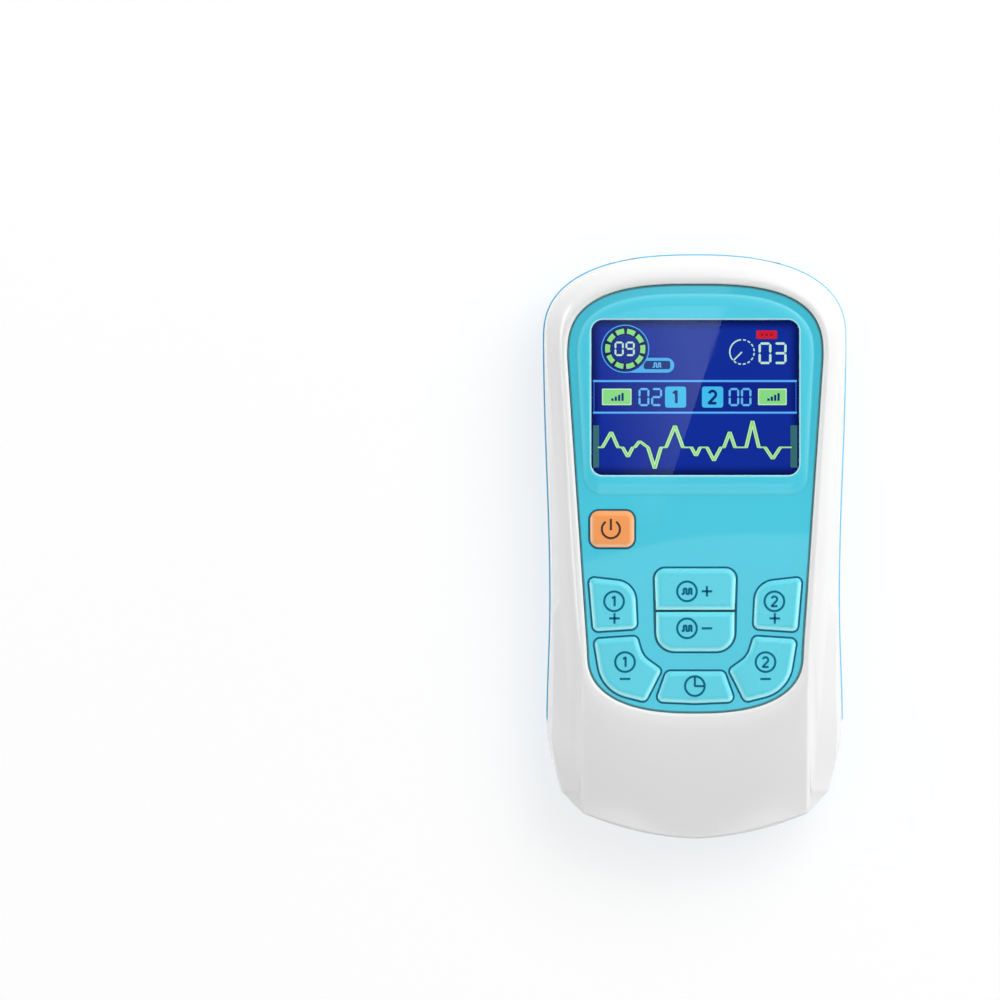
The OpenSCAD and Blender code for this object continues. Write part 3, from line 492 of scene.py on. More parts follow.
def smooth(obj, angle=SHARP):
    mesh = obj.data
    mesh.shade_smooth()
    mesh.set_sharp_from_angle(angle=math.radians(angle))
    step = obj.modifiers.new("normals", "WEIGHTED_NORMAL")
    step.keep_sharp = True
    step.weight = 60
    return bake(obj)


def dress(obj, material):
    obj.data.materials.clear()
    obj.data.materials.append(material)
    return obj


def seat(obj, body, slot, material, *nodes):
    """Gives a finished piece its material and its body, and hides the CAD nodes that it stands for."""
    dress(obj, material)
    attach(obj, body)
    if nodes:
        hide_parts(*nodes)
    return obj


def paint_node(name, material):
    """Gives a CAD node that keeps its own mesh another material."""
    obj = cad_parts[name]
    if not obj.material_slots:
        obj.data.materials.append(material)
    for place in obj.material_slots:
        place.link = "OBJECT"
        place.material = material


# ---- node helpers ----


SOCKET_KINDS = {float: "Float", int: "Int"}


class Nodes:
    """A short way to add nodes to a shader or geometry tree."""

    def __init__(self, tree):
        self.tree = tree

    def feed(self, node, inputs):
        """Sets a node's inputs. A node given as a value stands for its first output in use."""
        for key, value in inputs.items():
            socket = node.inputs[key]
            if isinstance(value, bpy.types.Node):
                value = next(out for out in value.outputs if out.enabled)
            if isinstance(value, bpy.types.NodeSocket):
                self.tree.links.new(value, socket)
            else:
                socket.default_value = (*value, 1) if socket.type == "RGBA" else value
        return node

    def __call__(self, kind, inputs=None, **settings):
        made = self.tree.nodes.new(kind)
        for key, value in settings.items():
            setattr(made, key, value)
        return self.feed(made, inputs or {})

    def math(self, operation, *values, **settings):
        return self("ShaderNodeMath", dict(enumerate(values)), operation=operation, **settings)

    def span(self, value, source=(0, 1), target=(0, 1), kind="LINEAR"):
        """Carries one span of values over to another."""
        ends = dict(zip(("From Min", "From Max", "To Min", "To Max"), (*source, *target)))
        return self("ShaderNodeMapRange", {"Value": value, **ends}, interpolation_type=kind)

    def ease(self, value, source, target=(0, 1)):
        return self.span(value, source, target, "SMOOTHSTEP")

    def mix(self, share, a, b, blend="MIX"):
        return self("ShaderNodeMix", {"Factor": share, "A": a, "B": b}, data_type="RGBA", blend_type=blend)

    def noise(self, scale, detail=2.0, vector=None, **more):
        vector = vector or self.place()
        return self("ShaderNodeTexNoise", {"Vector": vector, "Scale": scale, "Detail": detail, **more})

    def bump(self, height, strength, distance):
        return self("ShaderNodeBump", {"Height": height, "Strength": strength, "Distance": distance})

    def place(self, kind="Object"):
        return self("ShaderNodeTexCoord").outputs[kind]

    def parts(self, vector):
        return self("ShaderNodeSeparateXYZ", {"Vector": vector}).outputs

    def surface(self, shader):
        """Makes this the shader of the whole material."""
        self.feed(self.tree.nodes["Material Output"], {"Surface": shader})


def node_group(name, kind, inputs, draw):
    """A node group, made once. Draw adds its nodes and returns what each output carries."""
    if name in bpy.data.node_groups:
        return bpy.data.node_groups[name]
    tree = bpy.data.node_groups.new(name, kind)
    for label, value in inputs.items():
        kind_of = value if isinstance(value, str) else SOCKET_KINDS[type(value)]
        made = tree.interface.new_socket(label, in_out="INPUT", socket_type=f"NodeSocket{kind_of}")
        if kind_of != value:
            made.default_value = value
    add = Nodes(tree)
    results = draw(add, add("NodeGroupInput").outputs)
    for label in results:
        kind_of = "Geometry" if label == "Geometry" else "Float"
        tree.interface.new_socket(label, in_out="OUTPUT", socket_type=f"NodeSocket{kind_of}")
    add("NodeGroupOutput", results)
    return tree


# ---- materials ----


GRAIN_SCALE, GRAIN_DEPTH = 5200.0, 0.00002
BRUSHED_DEPTH = 0.000006


def moulding_values(*values):
    return dict(zip(("Grain Scale", "Handling Scale", "Low Roughness", "High Roughness"), values))


def moulded_surface():
    """Fine moulding grain, a slow unevenness of the gloss and the marks that handling leaves."""

    def draw(add, values):
        grain = add.noise(values["Grain Scale"])
        waves = add.noise(values["Handling Scale"], 3.0, Roughness=0.55, Distortion=0.4)
        uneven = add.span(waves, (0.35, 0.68))
        rough = add.span(uneven, target=(values["Low Roughness"], values["High Roughness"]))
        return {"Grain": grain, "Handling": uneven, "Roughness": rough}

    values = moulding_values(GRAIN_SCALE, 60.0, 0.2, 0.32)
    return node_group("Moulded surface", "ShaderNodeTree", values, draw)


def brushed_lines():
    """Fine lines drawn along one way, as on rolled and plated sheet."""

    def draw(add, values):
        drawn = add("ShaderNodeMapping", {"Vector": add.place(), "Scale": (1.0, 0.06, 1.0)})
        return {"Lines": add.noise(values["Line Scale"], 4.0, drawn)}

    return node_group("Brushed lines", "ShaderNodeTree", {"Line Scale": 900.0}, draw)


def new_material(name):
    if name in bpy.data.materials:
        bpy.data.materials.remove(bpy.data.materials[name])
    material = bpy.data.materials.new(name)
    material.use_nodes = True
    return material, Nodes(material.node_tree), material.node_tree.nodes["Principled BSDF"]


def moulded(add, *values):
    return add("ShaderNodeGroup", moulding_values(*values), node_tree=moulded_surface()).outputs


def plastic(name, tint, low=0.2, high=0.32, coat=0.0, coat_roughness=0.08, grain=0.08, mottle=0.035,
            handling=60.0, specular=0.5):
    """Moulded plastic: a tint that varies a little, a fine grain and an uneven gloss."""
    material, add, shader = new_material(name)
    surface = moulded(add, GRAIN_SCALE, handling, low, high)
    add.feed(shader, {
        "Base Color": add.mix(surface["Handling"], tint, [c * (1 - mottle) for c in tint]),
        "Roughness": surface["Roughness"], "Normal": add.bump(surface["Grain"], grain, GRAIN_DEPTH),
        "Coat Weight": coat, "Coat Roughness": coat_roughness, "Specular IOR Level": specular})
    return material


def metal(name, tint, roughness=0.3, lines=900.0):
    material, add, shader = new_material(name)
    drawn = add("ShaderNodeGroup", {"Line Scale": lines}, node_tree=brushed_lines())
    add.feed(shader, {
        "Base Color": add.mix(drawn, [c * 0.82 for c in tint], tint), "Metallic": 1.0,
        "Roughness": add.span(drawn, (0.3, 0.7), (roughness * 0.75, roughness * 1.25)),
        "Normal": add.bump(drawn, 0.2, BRUSHED_DEPTH)})
    return material


def lit(name, tint, edge=None):
    """A lit part of the display. Edge is the half size and middle of a frame towards which it dims, a painted
    shade along the frame.
    """
    material, add, shader = new_material(name)
    level = add.span(add.noise(70.0, 1.0), target=(0.94, 1.06))
    if edge:
        half_w, half_h, middle_y, soft = edge
        parts = add.parts(add.place())
        rest = []
        for axis, half, middle in (("X", half_w, 0.0), ("Y", half_h, middle_y)):
            size = add.math("ABSOLUTE", add.math("SUBTRACT", parts[axis], middle))
            rest.append(add.math("SUBTRACT", half, size))
        # painted shade: the light falls off towards the window's frame
        glow = add.ease(add.math("SMOOTH_MIN", *rest, soft), (-0.0003, soft), (0.22, 1.0))
        level = add.math("MULTIPLY", glow, level)
    scaled = add("ShaderNodeVectorMath", {0: tuple(tint), "Scale": level}, operation="SCALE")
    add.feed(shader, {"Emission Color": scaled, "Emission Strength": 1.0, "Base Color": (0, 0, 0),
                      "Roughness": 0.6, "Specular IOR Level": 0.0})
    return material


def clear_pane(name):
    material, add, shader = new_material(name)
    surface = moulded(add, 900.0, 90.0, 0.0, 0.02)
    add.feed(shader, {"Roughness": surface["Roughness"], "Base Color": (1, 1, 1), "Transmission Weight": 1.0,
                      "IOR": 1.46})
    return material


def board_lacquer(name):
    """Green solder mask with copper tracks showing through and pads along them."""
    material, add, shader = new_material(name)
    place = add.place()
    tracks = add("ShaderNodeTexBrick", {
        "Vector": place, "Scale": 160.0, "Mortar Size": 0.035, "Bias": -0.2, "Brick Width": 0.9,
        "Row Height": 0.22, "Color1": (0, 0, 0), "Color2": (0.12, 0.12, 0.12), "Mortar": (1, 1, 1),
    }, offset=0.37, squash=1.6)
    pads = add("ShaderNodeTexVoronoi", {"Vector": place, "Scale": 420.0}, feature="F1")
    mask = add.mix(tracks, rgb("125C36"), rgb("2E8D55"))
    tinned = add.mix(add.span(pads, (0.12, 0.16), (1, 0)), mask, rgb("C9CBC6"))
    add.feed(shader, {"Base Color": tinned, "Normal": add.bump(tracks, 0.4, 0.00003), "Roughness": 0.3})
    return material


def soft_foam(name, tint):
    material, add, shader = new_material(name)
    cells = add("ShaderNodeTexVoronoi", {"Vector": add.place(), "Scale": 3800.0})
    add.feed(shader, {"Base Color": add.mix(cells, [c * 0.4 for c in tint], tint), "Roughness": 0.9,
                      "Normal": add.bump(cells, 0.6, 0.00006)})
    return material


def repaint(material, change):
    """Feeds a finished plastic's colour through more nodes: change gets a way to add them and the colour."""
    shader = material.node_tree.nodes["Principled BSDF"]
    add = Nodes(material.node_tree)
    add.feed(shader, {"Base Color": change(add, shader.inputs["Base Color"].links[0].from_socket)})


# ---- geometry node trees ----


def geometry_tool(name, inputs, draw, smooth=False):
    """A geometry tree that makes what draw returns real, shades it and gives it the material."""

    def whole(add, values):
        real = add("GeometryNodeRealizeInstances", {"Geometry": draw(add, values)})
        shaded = add("GeometryNodeSetShadeSmooth", {"Geometry": real, "Shade Smooth": smooth})
        dressed = add("GeometryNodeSetMaterial", {"Geometry": shaded, "Material": values["Material"]})
        return {"Geometry": dressed}

    inputs = {"Geometry": "Geometry", **inputs, "Material": "Material"}
    return node_group(name, "GeometryNodeTree", inputs, whole)


def grow(obj, tree, values, material):
    """Runs a geometry tree on an object and keeps the result as its mesh."""
    step = obj.modifiers.new("grow", "NODES")
    step.node_group = tree
    sockets = {item.name: item.identifier for item in tree.interface.items_tree
               if item.item_type == "SOCKET" and item.in_out == "INPUT"}
    for label, value in {**values, "Material": material}.items():
        step[sockets[label]] = value
    return bake(obj)


def swept(add, line, section):
    return add("GeometryNodeCurveToMesh", {"Curve": line, "Profile Curve": section, "Fill Caps": True})


def flat_strip(add, line, width, height):
    level = add("GeometryNodeSetCurveNormal", {"Curve": line}, mode="Z_UP")
    section = add("GeometryNodeCurvePrimitiveQuadrilateral", {"Width": width, "Height": height})
    return swept(add, level, section)


def at_middle(add, pieces, geometry):
    """Moves pieces to the middle of the points that came in."""
    middle = add("GeometryNodeAttributeStatistic", {
        "Geometry": geometry, "Attribute": add("GeometryNodeInputPosition")}, data_type="FLOAT_VECTOR")
    return add("GeometryNodeTransform", {"Geometry": pieces, "Translation": middle.outputs["Mean"]})


def strip_tree():
    """A flat strip of even width along every drawn line."""

    def draw(add, values):
        line = add("GeometryNodeMeshToCurve", {"Mesh": values["Geometry"]})
        return flat_strip(add, line, values["Width"], values["Height"])

    return geometry_tool("Strip along a line", {"Width": 0.0003, "Height": 0.00003}, draw)


def dial_tree():
    """Bars set side by side round a circle."""

    def draw(add, values):
        step = add.math("DIVIDE", 2 * math.pi, values["Count"])
        sweep = add.math("MULTIPLY", step, add.math("SUBTRACT", 1.0, values["Gap Share"]))
        arc = add("GeometryNodeCurveArc", {"Resolution": 7, "Radius": values["Radius"], "Sweep Angle": sweep},
                  mode="RADIUS")
        angle = add.math("MULTIPLY_ADD", add("GeometryNodeInputIndex"), step, values["Start"])
        bars = add("GeometryNodeInstanceOnPoints", {
            "Points": add("GeometryNodePoints", {"Count": values["Count"]}),
            "Instance": flat_strip(add, arc, values["Bar Width"], values["Height"]),
            "Rotation": add("ShaderNodeCombineXYZ", {"Z": angle})})
        return at_middle(add, add("GeometryNodeRealizeInstances", {"Geometry": bars}), values["Geometry"])

    return geometry_tool("Marks round a circle", {"Count": 12, "Radius": 0.0044, "Bar Width": 0.0012,
                                                  "Gap Share": 0.2, "Start": 0.0, "Height": 0.0001}, draw)


def spring_tree():
    """A tapering wire spring at every point, turned by the point's own way."""

    def draw(add, values):
        coil = add("GeometryNodeCurveSpiral", {
            "Resolution": 24, "Rotations": values["Turns"], "Start Radius": values["Foot Radius"],
            "End Radius": values["Tip Radius"], "Height": values["Length"]})
        section = add("GeometryNodeCurvePrimitiveCircle", {
            "Resolution": 10, "Radius": add.math("MULTIPLY", values["Wire"], 0.5)}, mode="RADIUS")
        way = add("GeometryNodeInputNamedAttribute", {"Name": "way"}, data_type="FLOAT")
        lean = add.math("MULTIPLY", way, -math.pi / 2)
        return add("GeometryNodeInstanceOnPoints", {
            "Points": add("GeometryNodeMeshToPoints", {"Mesh": values["Geometry"]}),
            "Instance": swept(add, coil, section), "Rotation": add("ShaderNodeCombineXYZ", {"X": lean})})

    return geometry_tool("Springs at points", {"Length": 0.004, "Turns": 5.0, "Foot Radius": 0.003,
                                               "Tip Radius": 0.002, "Wire": 0.0006}, draw, smooth=True)


def rib_tree():
    """Round-backed ribs in a row, the first at the object's own point."""

    def draw(add, values):
        pitch = add("ShaderNodeCombineXYZ", {"Y": values["Pitch"]})
        row = add("GeometryNodeMeshLine", {"Count": values["Count"], "Offset": pitch}, mode="OFFSET")
        bar = add("GeometryNodeMeshCylinder", {
            "Vertices": 16, "Side Segments": 1, "Radius": add.math("MULTIPLY", values["Thickness"], 0.5),
            "Depth": values["Length"]})
        ribs = add("GeometryNodeInstanceOnPoints", {"Points": at_middle(add, row, values["Geometry"]),
                                                    "Instance": bar})
        return add("GeometryNodeRotateInstances", {"Instances": ribs, "Rotation": (0.0, math.pi / 2, 0.0)})

    values = {"Count": 4, "Pitch": 0.0014, "Length": 0.009, "Thickness": 0.0006}
    return geometry_tool("Ribs in a row", values, draw)


# how far a drawn line's rounding runs to either side of a corner
LINE_EASE = 0.2


def eased(line, closed):
    """The same line with its sharp corners rounded, so that a strip along it keeps its width."""
    out = []
    for i, q in enumerate(line):
        if not closed and i in (0, len(line) - 1):
            out.append(q)
            continue
        before, after = line[i - 1] - q, line[(i + 1) % len(line)] - q
        a, b = np.linalg.norm(before), np.linalg.norm(after)
        if before @ after < -0.94 * a * b:
            out.append(q)
            continue
        r = min(LINE_EASE, 0.45 * a, 0.45 * b)
        start, end = q + before / a * r, q + after / b * r
        out += [start * (1 - t) ** 2 + q * 2 * t * (1 - t) + end * t * t for t in np.linspace(0, 1, 7)]
    return np.array(out)


def drawn_lines(name, lines, low_y, z, width, high, material):
    """Flat strips along lines counted from low_y. Each line is its points and whether it closes."""
    points, edges = [], []
    for line, closed in lines:
        line = eased(np.array(line, float), closed)
        first = len(points)
        points += [(p[0], p[1] + low_y, z) for p in line]
        edges += [(first + i, first + i + 1) for i in range(len(line) - 1)]
        if closed:
            edges.append((len(points) - 1, first))
    obj = raw_object(name, points, (), edges)
    return grow(obj, strip_tree(), {"Width": width, "Height": high}, material)


def circle(x, y, r, start=0.0, end=360.0, steps=48):
    """Points of a circle or of an arc; angles in degrees, counted from +X towards +Y."""
    closed = end - start >= 360
    angles = np.radians(np.linspace(start, end, steps, endpoint=not closed))
    return np.stack([x + r * np.cos(angles), y + r * np.sin(angles)], 1), closed


# ---- the shells ----


def build_front_shell(h, sizes, material):
    (wall, middle, low, top), crest_z = h.wall_rows()
    rim = inward(h.outline, lerp(0.33, 0.0, h.chin_share))
    bevel = sizes.seam_bevel / MM
    crest = inward(h.panel, -CREST_OUT)
    bulge = h.bulge()

    def face(t):
        z = lerp(top[:, 2], crest_z, 1 - (1 - t) ** bulge)
        return np.column_stack([lerp(top[:, :2], crest, t), z])

    rows = [at_z(inward(rim, bevel), h.seam_z), at_z(rim, h.seam_z + bevel),
            np.column_stack([rim, wall[:, 2]]), middle, low, face(0), face(0.14)]
    rows += [face(t) for t in np.linspace(0.2, 1, 20)]
    # the crest rounds over into the pocket for the panel
    for a in np.linspace(0, math.pi / 2, 8)[1:]:
        over = inward(h.panel, -CREST_OUT + (CREST_OUT - POCKET_GAP) * math.sin(a))
        rows.append(np.column_stack([over, crest_z - 0.6 * (1 - math.cos(a))]))
    share = np.clip((np.arange(LAST + 1) - CAP + 6) / 12, 0, 1)
    reach = mirrored(lerp(sizes.cap_soft / MM, sizes.crease_soft / MM, share))
    for row, softness, steps in ((5, reach, 7), (4, 0.4, 5), (3, 1.5, 5), (2, 1.2, 5)):
        soften(rows, row, softness, steps)
    pocket, mouth, lip = inward(h.panel, -POCKET_GAP), inward(h.panel, 1), inward(h.outline, 1)
    inner, ledge_low = inward(h.outline, WALL), h.ledge_z - 1.4
    rows += [at_z(pocket, h.ledge_z), at_z(mouth, h.ledge_z), at_z(mouth, ledge_low),
             at_z(inward(h.panel, -CREST_OUT), ledge_low),
             np.column_stack([inward(top[:, :2], 1.8), top[:, 2] - 2.2]), at_z(inner, h.seam_z + 3),
             at_z(inner, h.seam_z + 0.9), at_z(lip, h.seam_z + 0.9), at_z(lip, h.seam_z)]
    rows = soften_corner(rows, CAP + SIDE, 0.3)
    # four points further on, because the softened corner before it has four points more
    rows = soften_corner(rows, CORNER + 4, 0.3)
    shell = loft("front_shell_moulding", rows, ring=True)
    bosses = []
    for name in SCREWS:
        x, y, _ = middle_mm(name)
        top_z = h.ledge_z - 1.8 if y > 0 else h.seam_z + 6.4
        bore = rod("bore", (x, y), 1.3, h.seam_z - 1, corners_mm(name)[1][2] + 1.5)
        bosses.append(carve(rod("boss", (x, y), 2.8, h.seam_z, top_z), "DIFFERENCE", bore))
    carve(shell, "UNION", *bosses)
    carve(shell, "DIFFERENCE", *socket_tools(h))
    smooth(shell)
    return seat(shell, HOUSING, "white_plastic", material, "front_shell")


def socket_tools(h):
    """The rods that cut the two round holes for the sockets."""
    return [turn_to_y(rod("hole", (middle_mm(name)[0], 0), 3.4, 0, 20, 96), h.top_y - 12, h.seam_z)
            for name in ("socket_left", "socket_right")]


# how far the chin's rim and the flat base stand inside the outline, and the base's distance from both ends
RIM_IN, BASE_IN, BASE_LOW, BASE_TOP = 0.9, 6, 12.5, 8
# how square the back shell's section is, from the seam to the base
BACK_POWER = 3.2


def back_loops(h, depth, turns, steps):
    """Loops of the back shell's skin at a depth: a turn of 0 is the seam and the last step is the base."""
    rim, base = back_outlines(h)
    loops = []
    for turn in turns:
        angle = math.pi / 2 * turn / steps
        u, v = max(0, math.cos(angle)) ** (2 / BACK_POWER), math.sin(angle) ** (2 / BACK_POWER)
        loops.append(at_z(lerp(inward(base, depth), inward(rim, depth), u), lerp(h.seam_z, depth, v)))
    return loops


def back_outlines(h):
    """The back shell's outline at the seam and where its base becomes flat."""
    rim = lerp(h.outline, inward(h.outline, RIM_IN), h.chin_share[:, None])
    deep = inward(h.outline, BASE_IN)
    # so far in, the close points past the lower corners would stand in a fold, so they are spaced out
    n = len(deep)
    for a, b, step in ((CORNER, CORNER + 4, 1), (n - CORNER, n - CORNER - 4, -1)):
        deep[a:b:step] = np.linspace(deep[a], deep[b], 5)[:-1]
    along = (deep[:, 1] - h.low_y - BASE_IN) / (h.top_y - h.low_y - 2 * BASE_IN)
    y = lerp(h.low_y + BASE_LOW, h.top_y - BASE_TOP, along)
    return rim, np.column_stack([deep[:, 0], y])


def back_form(name, h, depth, rows=24, rise=0.0):
    """Everything inside the back shell's outer skin, a depth under it."""
    loops = back_loops(h, depth, range(rows, -1, -1), rows)
    if rise:
        loops.append(at_z(inward(back_outlines(h)[0], depth), h.seam_z + rise))
    return loft(name, loops)


# how thick the walls are that frame the battery door, over the gap round it
BAY_WALL = 1.4


class Bay:
    """Sizes of the battery bay and its door, read off the frame."""

    def __init__(self, h):
        cell_low, cell_high = corners_mm("cell_middle")
        self.gap, self.door_t = 0.3, 1.8
        self.cell_d = cell_high[2] - cell_low[2]
        self.cell_z = (cell_low[2] + cell_high[2]) / 2
        self.w = 3 * self.cell_d + 4 * self.gap
        self.low_y = h.low_y + 14.5
        self.len = cell_high[1] - cell_low[1] + 5.5
        self.high_y = self.low_y + self.len
        self.floor_z = 2 * self.gap + self.door_t
        self.top_z = self.cell_z + self.cell_d / 2 + self.gap
        self.door_w = self.w + 7
        self.door_top_y = self.high_y + 4
        self.groove_end_y = self.door_top_y - 5


def door_zone(h, bay, more):
    x, r = bay.door_w / 2 + more, 3 + more
    outline = rounded([(-x, bay.door_top_y + more, r), (x, bay.door_top_y + more, r),
                       (x, h.low_y - 5, 0.5), (-x, h.low_y - 5, 0.5)])
    return prism("zone", [outline], -1, 9.5 + more)


def bay_block(bay, more, top):
    low_z = bay.floor_z if more else -1
    return box_solid("bay", (-bay.w / 2 - more, bay.low_y - more, low_z),
                     (bay.w / 2 + more, bay.high_y + more, top))


def build_back_shell(h, bay, sizes, material):
    rim, bevel = back_outlines(h)[0], sizes.seam_bevel / MM
    outer, inner = back_loops(h, 0, range(26, 0, -1), 26), back_loops(h, WALL, range(0, 15), 14)
    lip_out, lip_in, lip_z = inward(h.outline, 1.1), inward(h.outline, 1.9), h.seam_z + 0.8
    rows = outer + [at_z(rim, h.seam_z - bevel), at_z(inward(rim, bevel), h.seam_z), at_z(lip_out, h.seam_z),
                    at_z(lip_out, lip_z), at_z(lip_in, lip_z)] + inner
    shell = loft("back_shell_moulding", rows)
    under = back_form("under", h, bay.floor_z + BAY_WALL, rise=1)
    kept, pillars, holes = carve(door_zone(h, bay, BAY_WALL), "DIFFERENCE", under), [], []
    for name in SCREWS:
        at = tuple(middle_mm(name)[:2])
        pillars.append(rod("pillar", at, 3.2, 0, h.seam_z))
        holes += [rod("sink", at, 2.6, -1, 5), rod("bore", at, 1.35, -1, h.seam_z + 1)]
    carve(kept, "UNION", *pillars)
    carve(kept, "INTERSECT", back_form("body", h, 0))
    posts, board_z = [], corners_mm("main_board")[0][2]
    for at in board_screw_places(h):
        post = rod("post", at, 2.5, 1, board_z)
        posts.append(carve(post, "DIFFERENCE", rod("bore", at, 1.05, board_z - 7, board_z + 1)))
    posts.append(rod("post", (0, h.top_y - 9), 2, 1, board_z))
    carve(shell, "UNION", kept, bay_block(bay, 1.2, bay.top_z + 1.2), *posts)
    hollow = carve(door_zone(h, bay, 0), "DIFFERENCE", back_form("under", h, bay.floor_z, rise=1))
    grooves = [box_solid("groove", (s * bay.door_w / 2 - 1, h.low_y - 1, 1),
                         (s * bay.door_w / 2 + 1, bay.groove_end_y, bay.floor_z)) for s in (-1, 1)]
    carve(shell, "DIFFERENCE", hollow, bay_block(bay, 0, bay.top_z), *grooves, *holes, *socket_tools(h))
    smooth(shell)
    return seat(shell, HOUSING, "blue_plastic", material, "back_shell")


def board_screw_places(h):
    return [(s * 25, y) for s in (-1, 1) for y in (h.window_y - 24.8, h.panel_low_y + 4.5)]


def build_battery_door(h, bay, sizes, material):
    leaf = carve(door_zone(h, bay, -bay.gap), "INTERSECT", back_form("body", h, bay.gap))
    inner_x, outer_x, inside_z = bay.door_w / 2 - 2, bay.door_w / 2 - bay.gap + 0.85, bay.gap + bay.door_t
    lips = [box_solid("lip", (low_x, bay.low_y, 1.2), (high_x, bay.groove_end_y - bay.gap, inside_z))
            for low_x, high_x in ((-outer_x, -inner_x), (inner_x, outer_x))]
    carve(leaf, "UNION", *lips)
    # a latch between two slots, with a dish for the grip's ribs
    half, latch_len, top_y = 6, 9, bay.door_top_y
    dish_x, dish_low_y, dish_high_y = half - 1.5, top_y - latch_len + 1, top_y - 2
    slots = [box_solid("slot", (x - 0.3, top_y - latch_len, -1), (x + 0.3, top_y + 1, 4))
             for x in (-half, half)]
    dish = rounded([(-dish_x, dish_high_y, 1), (dish_x, dish_high_y, 1), (dish_x, dish_low_y, 1),
                    (-dish_x, dish_low_y, 1)])
    carve(leaf, "DIFFERENCE", back_form("under", h, inside_z, rise=1), *slots,
          prism("dish", [dish], -1, bay.gap + 0.6))
    leaf.name = "battery_door_moulding"
    smooth(leaf)
    seat(leaf, "battery_door", "blue_plastic", material, "battery_door")
    pitch = 5.4 / sizes.grip_ribs
    ribs = raw_object("battery_door_grip", [(0, dish_low_y + pitch * 0.75, bay.gap + 0.55)])
    grow(ribs, rib_tree(), {"Count": sizes.grip_ribs, "Pitch": pitch * MM, "Length": (2 * half - 4) * MM,
                            "Thickness": 0.0008}, material)
    seat(ribs, "battery_door", "blue_plastic", material)


# ---- face panel ----


# the window's corner radius and the gap round the window
WINDOW_R, WINDOW_GAP = 2.6, 0.12
# the hood: how high it rises, and how far its foot stands below the window and outside the panel's low end
HOOD_RISE, HOOD_DROP, HOOD_OUT = 0.3, 5.1, 1.2
# the keys stand this far inside their outlines, with a gap round them
KEY_INSET, KEY_GAP = 0.2, 0.13
# a key's upper edge from its side to its top: how far in and how deep, as shares of its width and height
KEY_EDGE = [(0, 1.1), (0.02, 1.0), (0.06, 0.9), (0.13, 0.79), (0.28, 0.6), (0.45, 0.4), (0.62, 0.22),
            (0.78, 0.09), (0.9, 0.025), (1, 0)]
MODE_CORNERS = [(-9.95, -22, 2.7), (9.95, -22, 2.7), (9.45, -42.1, 4.6), (-9.45, -42.1, 4.6)]
UP_CORNERS = [(-25.5, -24.1, 1.4), (-14.1, -25.4, 5), (-13.6, -36.7, 1.6), (-24.35, -37.4, 1.5)]
DOWN_CORNERS = [(-24.3, -38.8, 1.5), (-13.7, -38.1, 1.4), (-12.3, -42.9, 5), (-7.7, -46.2, 1.3),
                (-11.7, -54.1, 1.5), (-22.2, -51.4, 8.8)]


def on_right(corners):
    return [(-x, y, r) for x, y, r in reversed(corners)]


def mode_edge(side):
    y = -32.3 + side * 0.02
    return [(side * 9.5, y, 0.3), (-side * 9.5, y, 0.3)]


KEY_CORNERS = {
    "power_key": [(-25.15, -8.35, 2.3), (-14.25, -8.35, 2.3), (-14.25, -17.45, 2.3), (-25.15, -17.45, 2.3)],
    "mode_up_key": [*MODE_CORNERS[:2], *mode_edge(1)],
    "mode_down_key": [*mode_edge(-1), *MODE_CORNERS[2:]],
    "channel_1_up_key": UP_CORNERS,
    "channel_1_down_key": DOWN_CORNERS,
    "channel_2_up_key": on_right(UP_CORNERS),
    "channel_2_down_key": on_right(DOWN_CORNERS),
    "timer_key": [(-7, -46.4, 1.6), (7, -46.4, 1.6), (9.7, -54, 1.5), (0, -54.4, 12), (-9.7, -54, 1.5)],
}


HOLES = [name for name in KEY_CORNERS if name != "mode_down_key"]


def key_outline(h, corners):
    """A key's outline, from corners counted from the window's lower edge."""
    return rounded([(x, y + h.window_low_y, r) for x, y, r in corners])


def hood_outline(h):
    """The foot of the raised hood that carries the window."""
    side, r = 2.0, 5
    x, low_y = h.panel_low_w / 2 + HOOD_OUT, h.window_low_y - HOOD_DROP
    cap = quarter(h.panel_w / 2 - side, PANEL_CAP - side, PANEL_CAP_POWER, 36)
    cap += [0, h.panel_top_y - PANEL_CAP]
    foot = quarter(r, r, 2, 14)[::-1]
    foot = np.stack([x - r + foot[:, 0], low_y + r - foot[:, 1]], 1)
    flank = [lerp(cap[-1], foot[0], t) for t in np.linspace(0, 1, 12)[1:-1]]
    bottom = [(foot[-1][0] * (1 - t), low_y) for t in np.linspace(0, 1, 12)[1:]]
    return both_sides(np.concatenate([cap, flank, foot, bottom]))


def window_outline(h):
    return rounded(box_outline(h.window_w, h.window_h, WINDOW_R), 14) + [0, h.window_y]


def around_key(name):
    """The corners of the hole that a key stands in; the two mode keys share one."""
    return MODE_CORNERS if name.startswith("mode") else KEY_CORNERS[name]


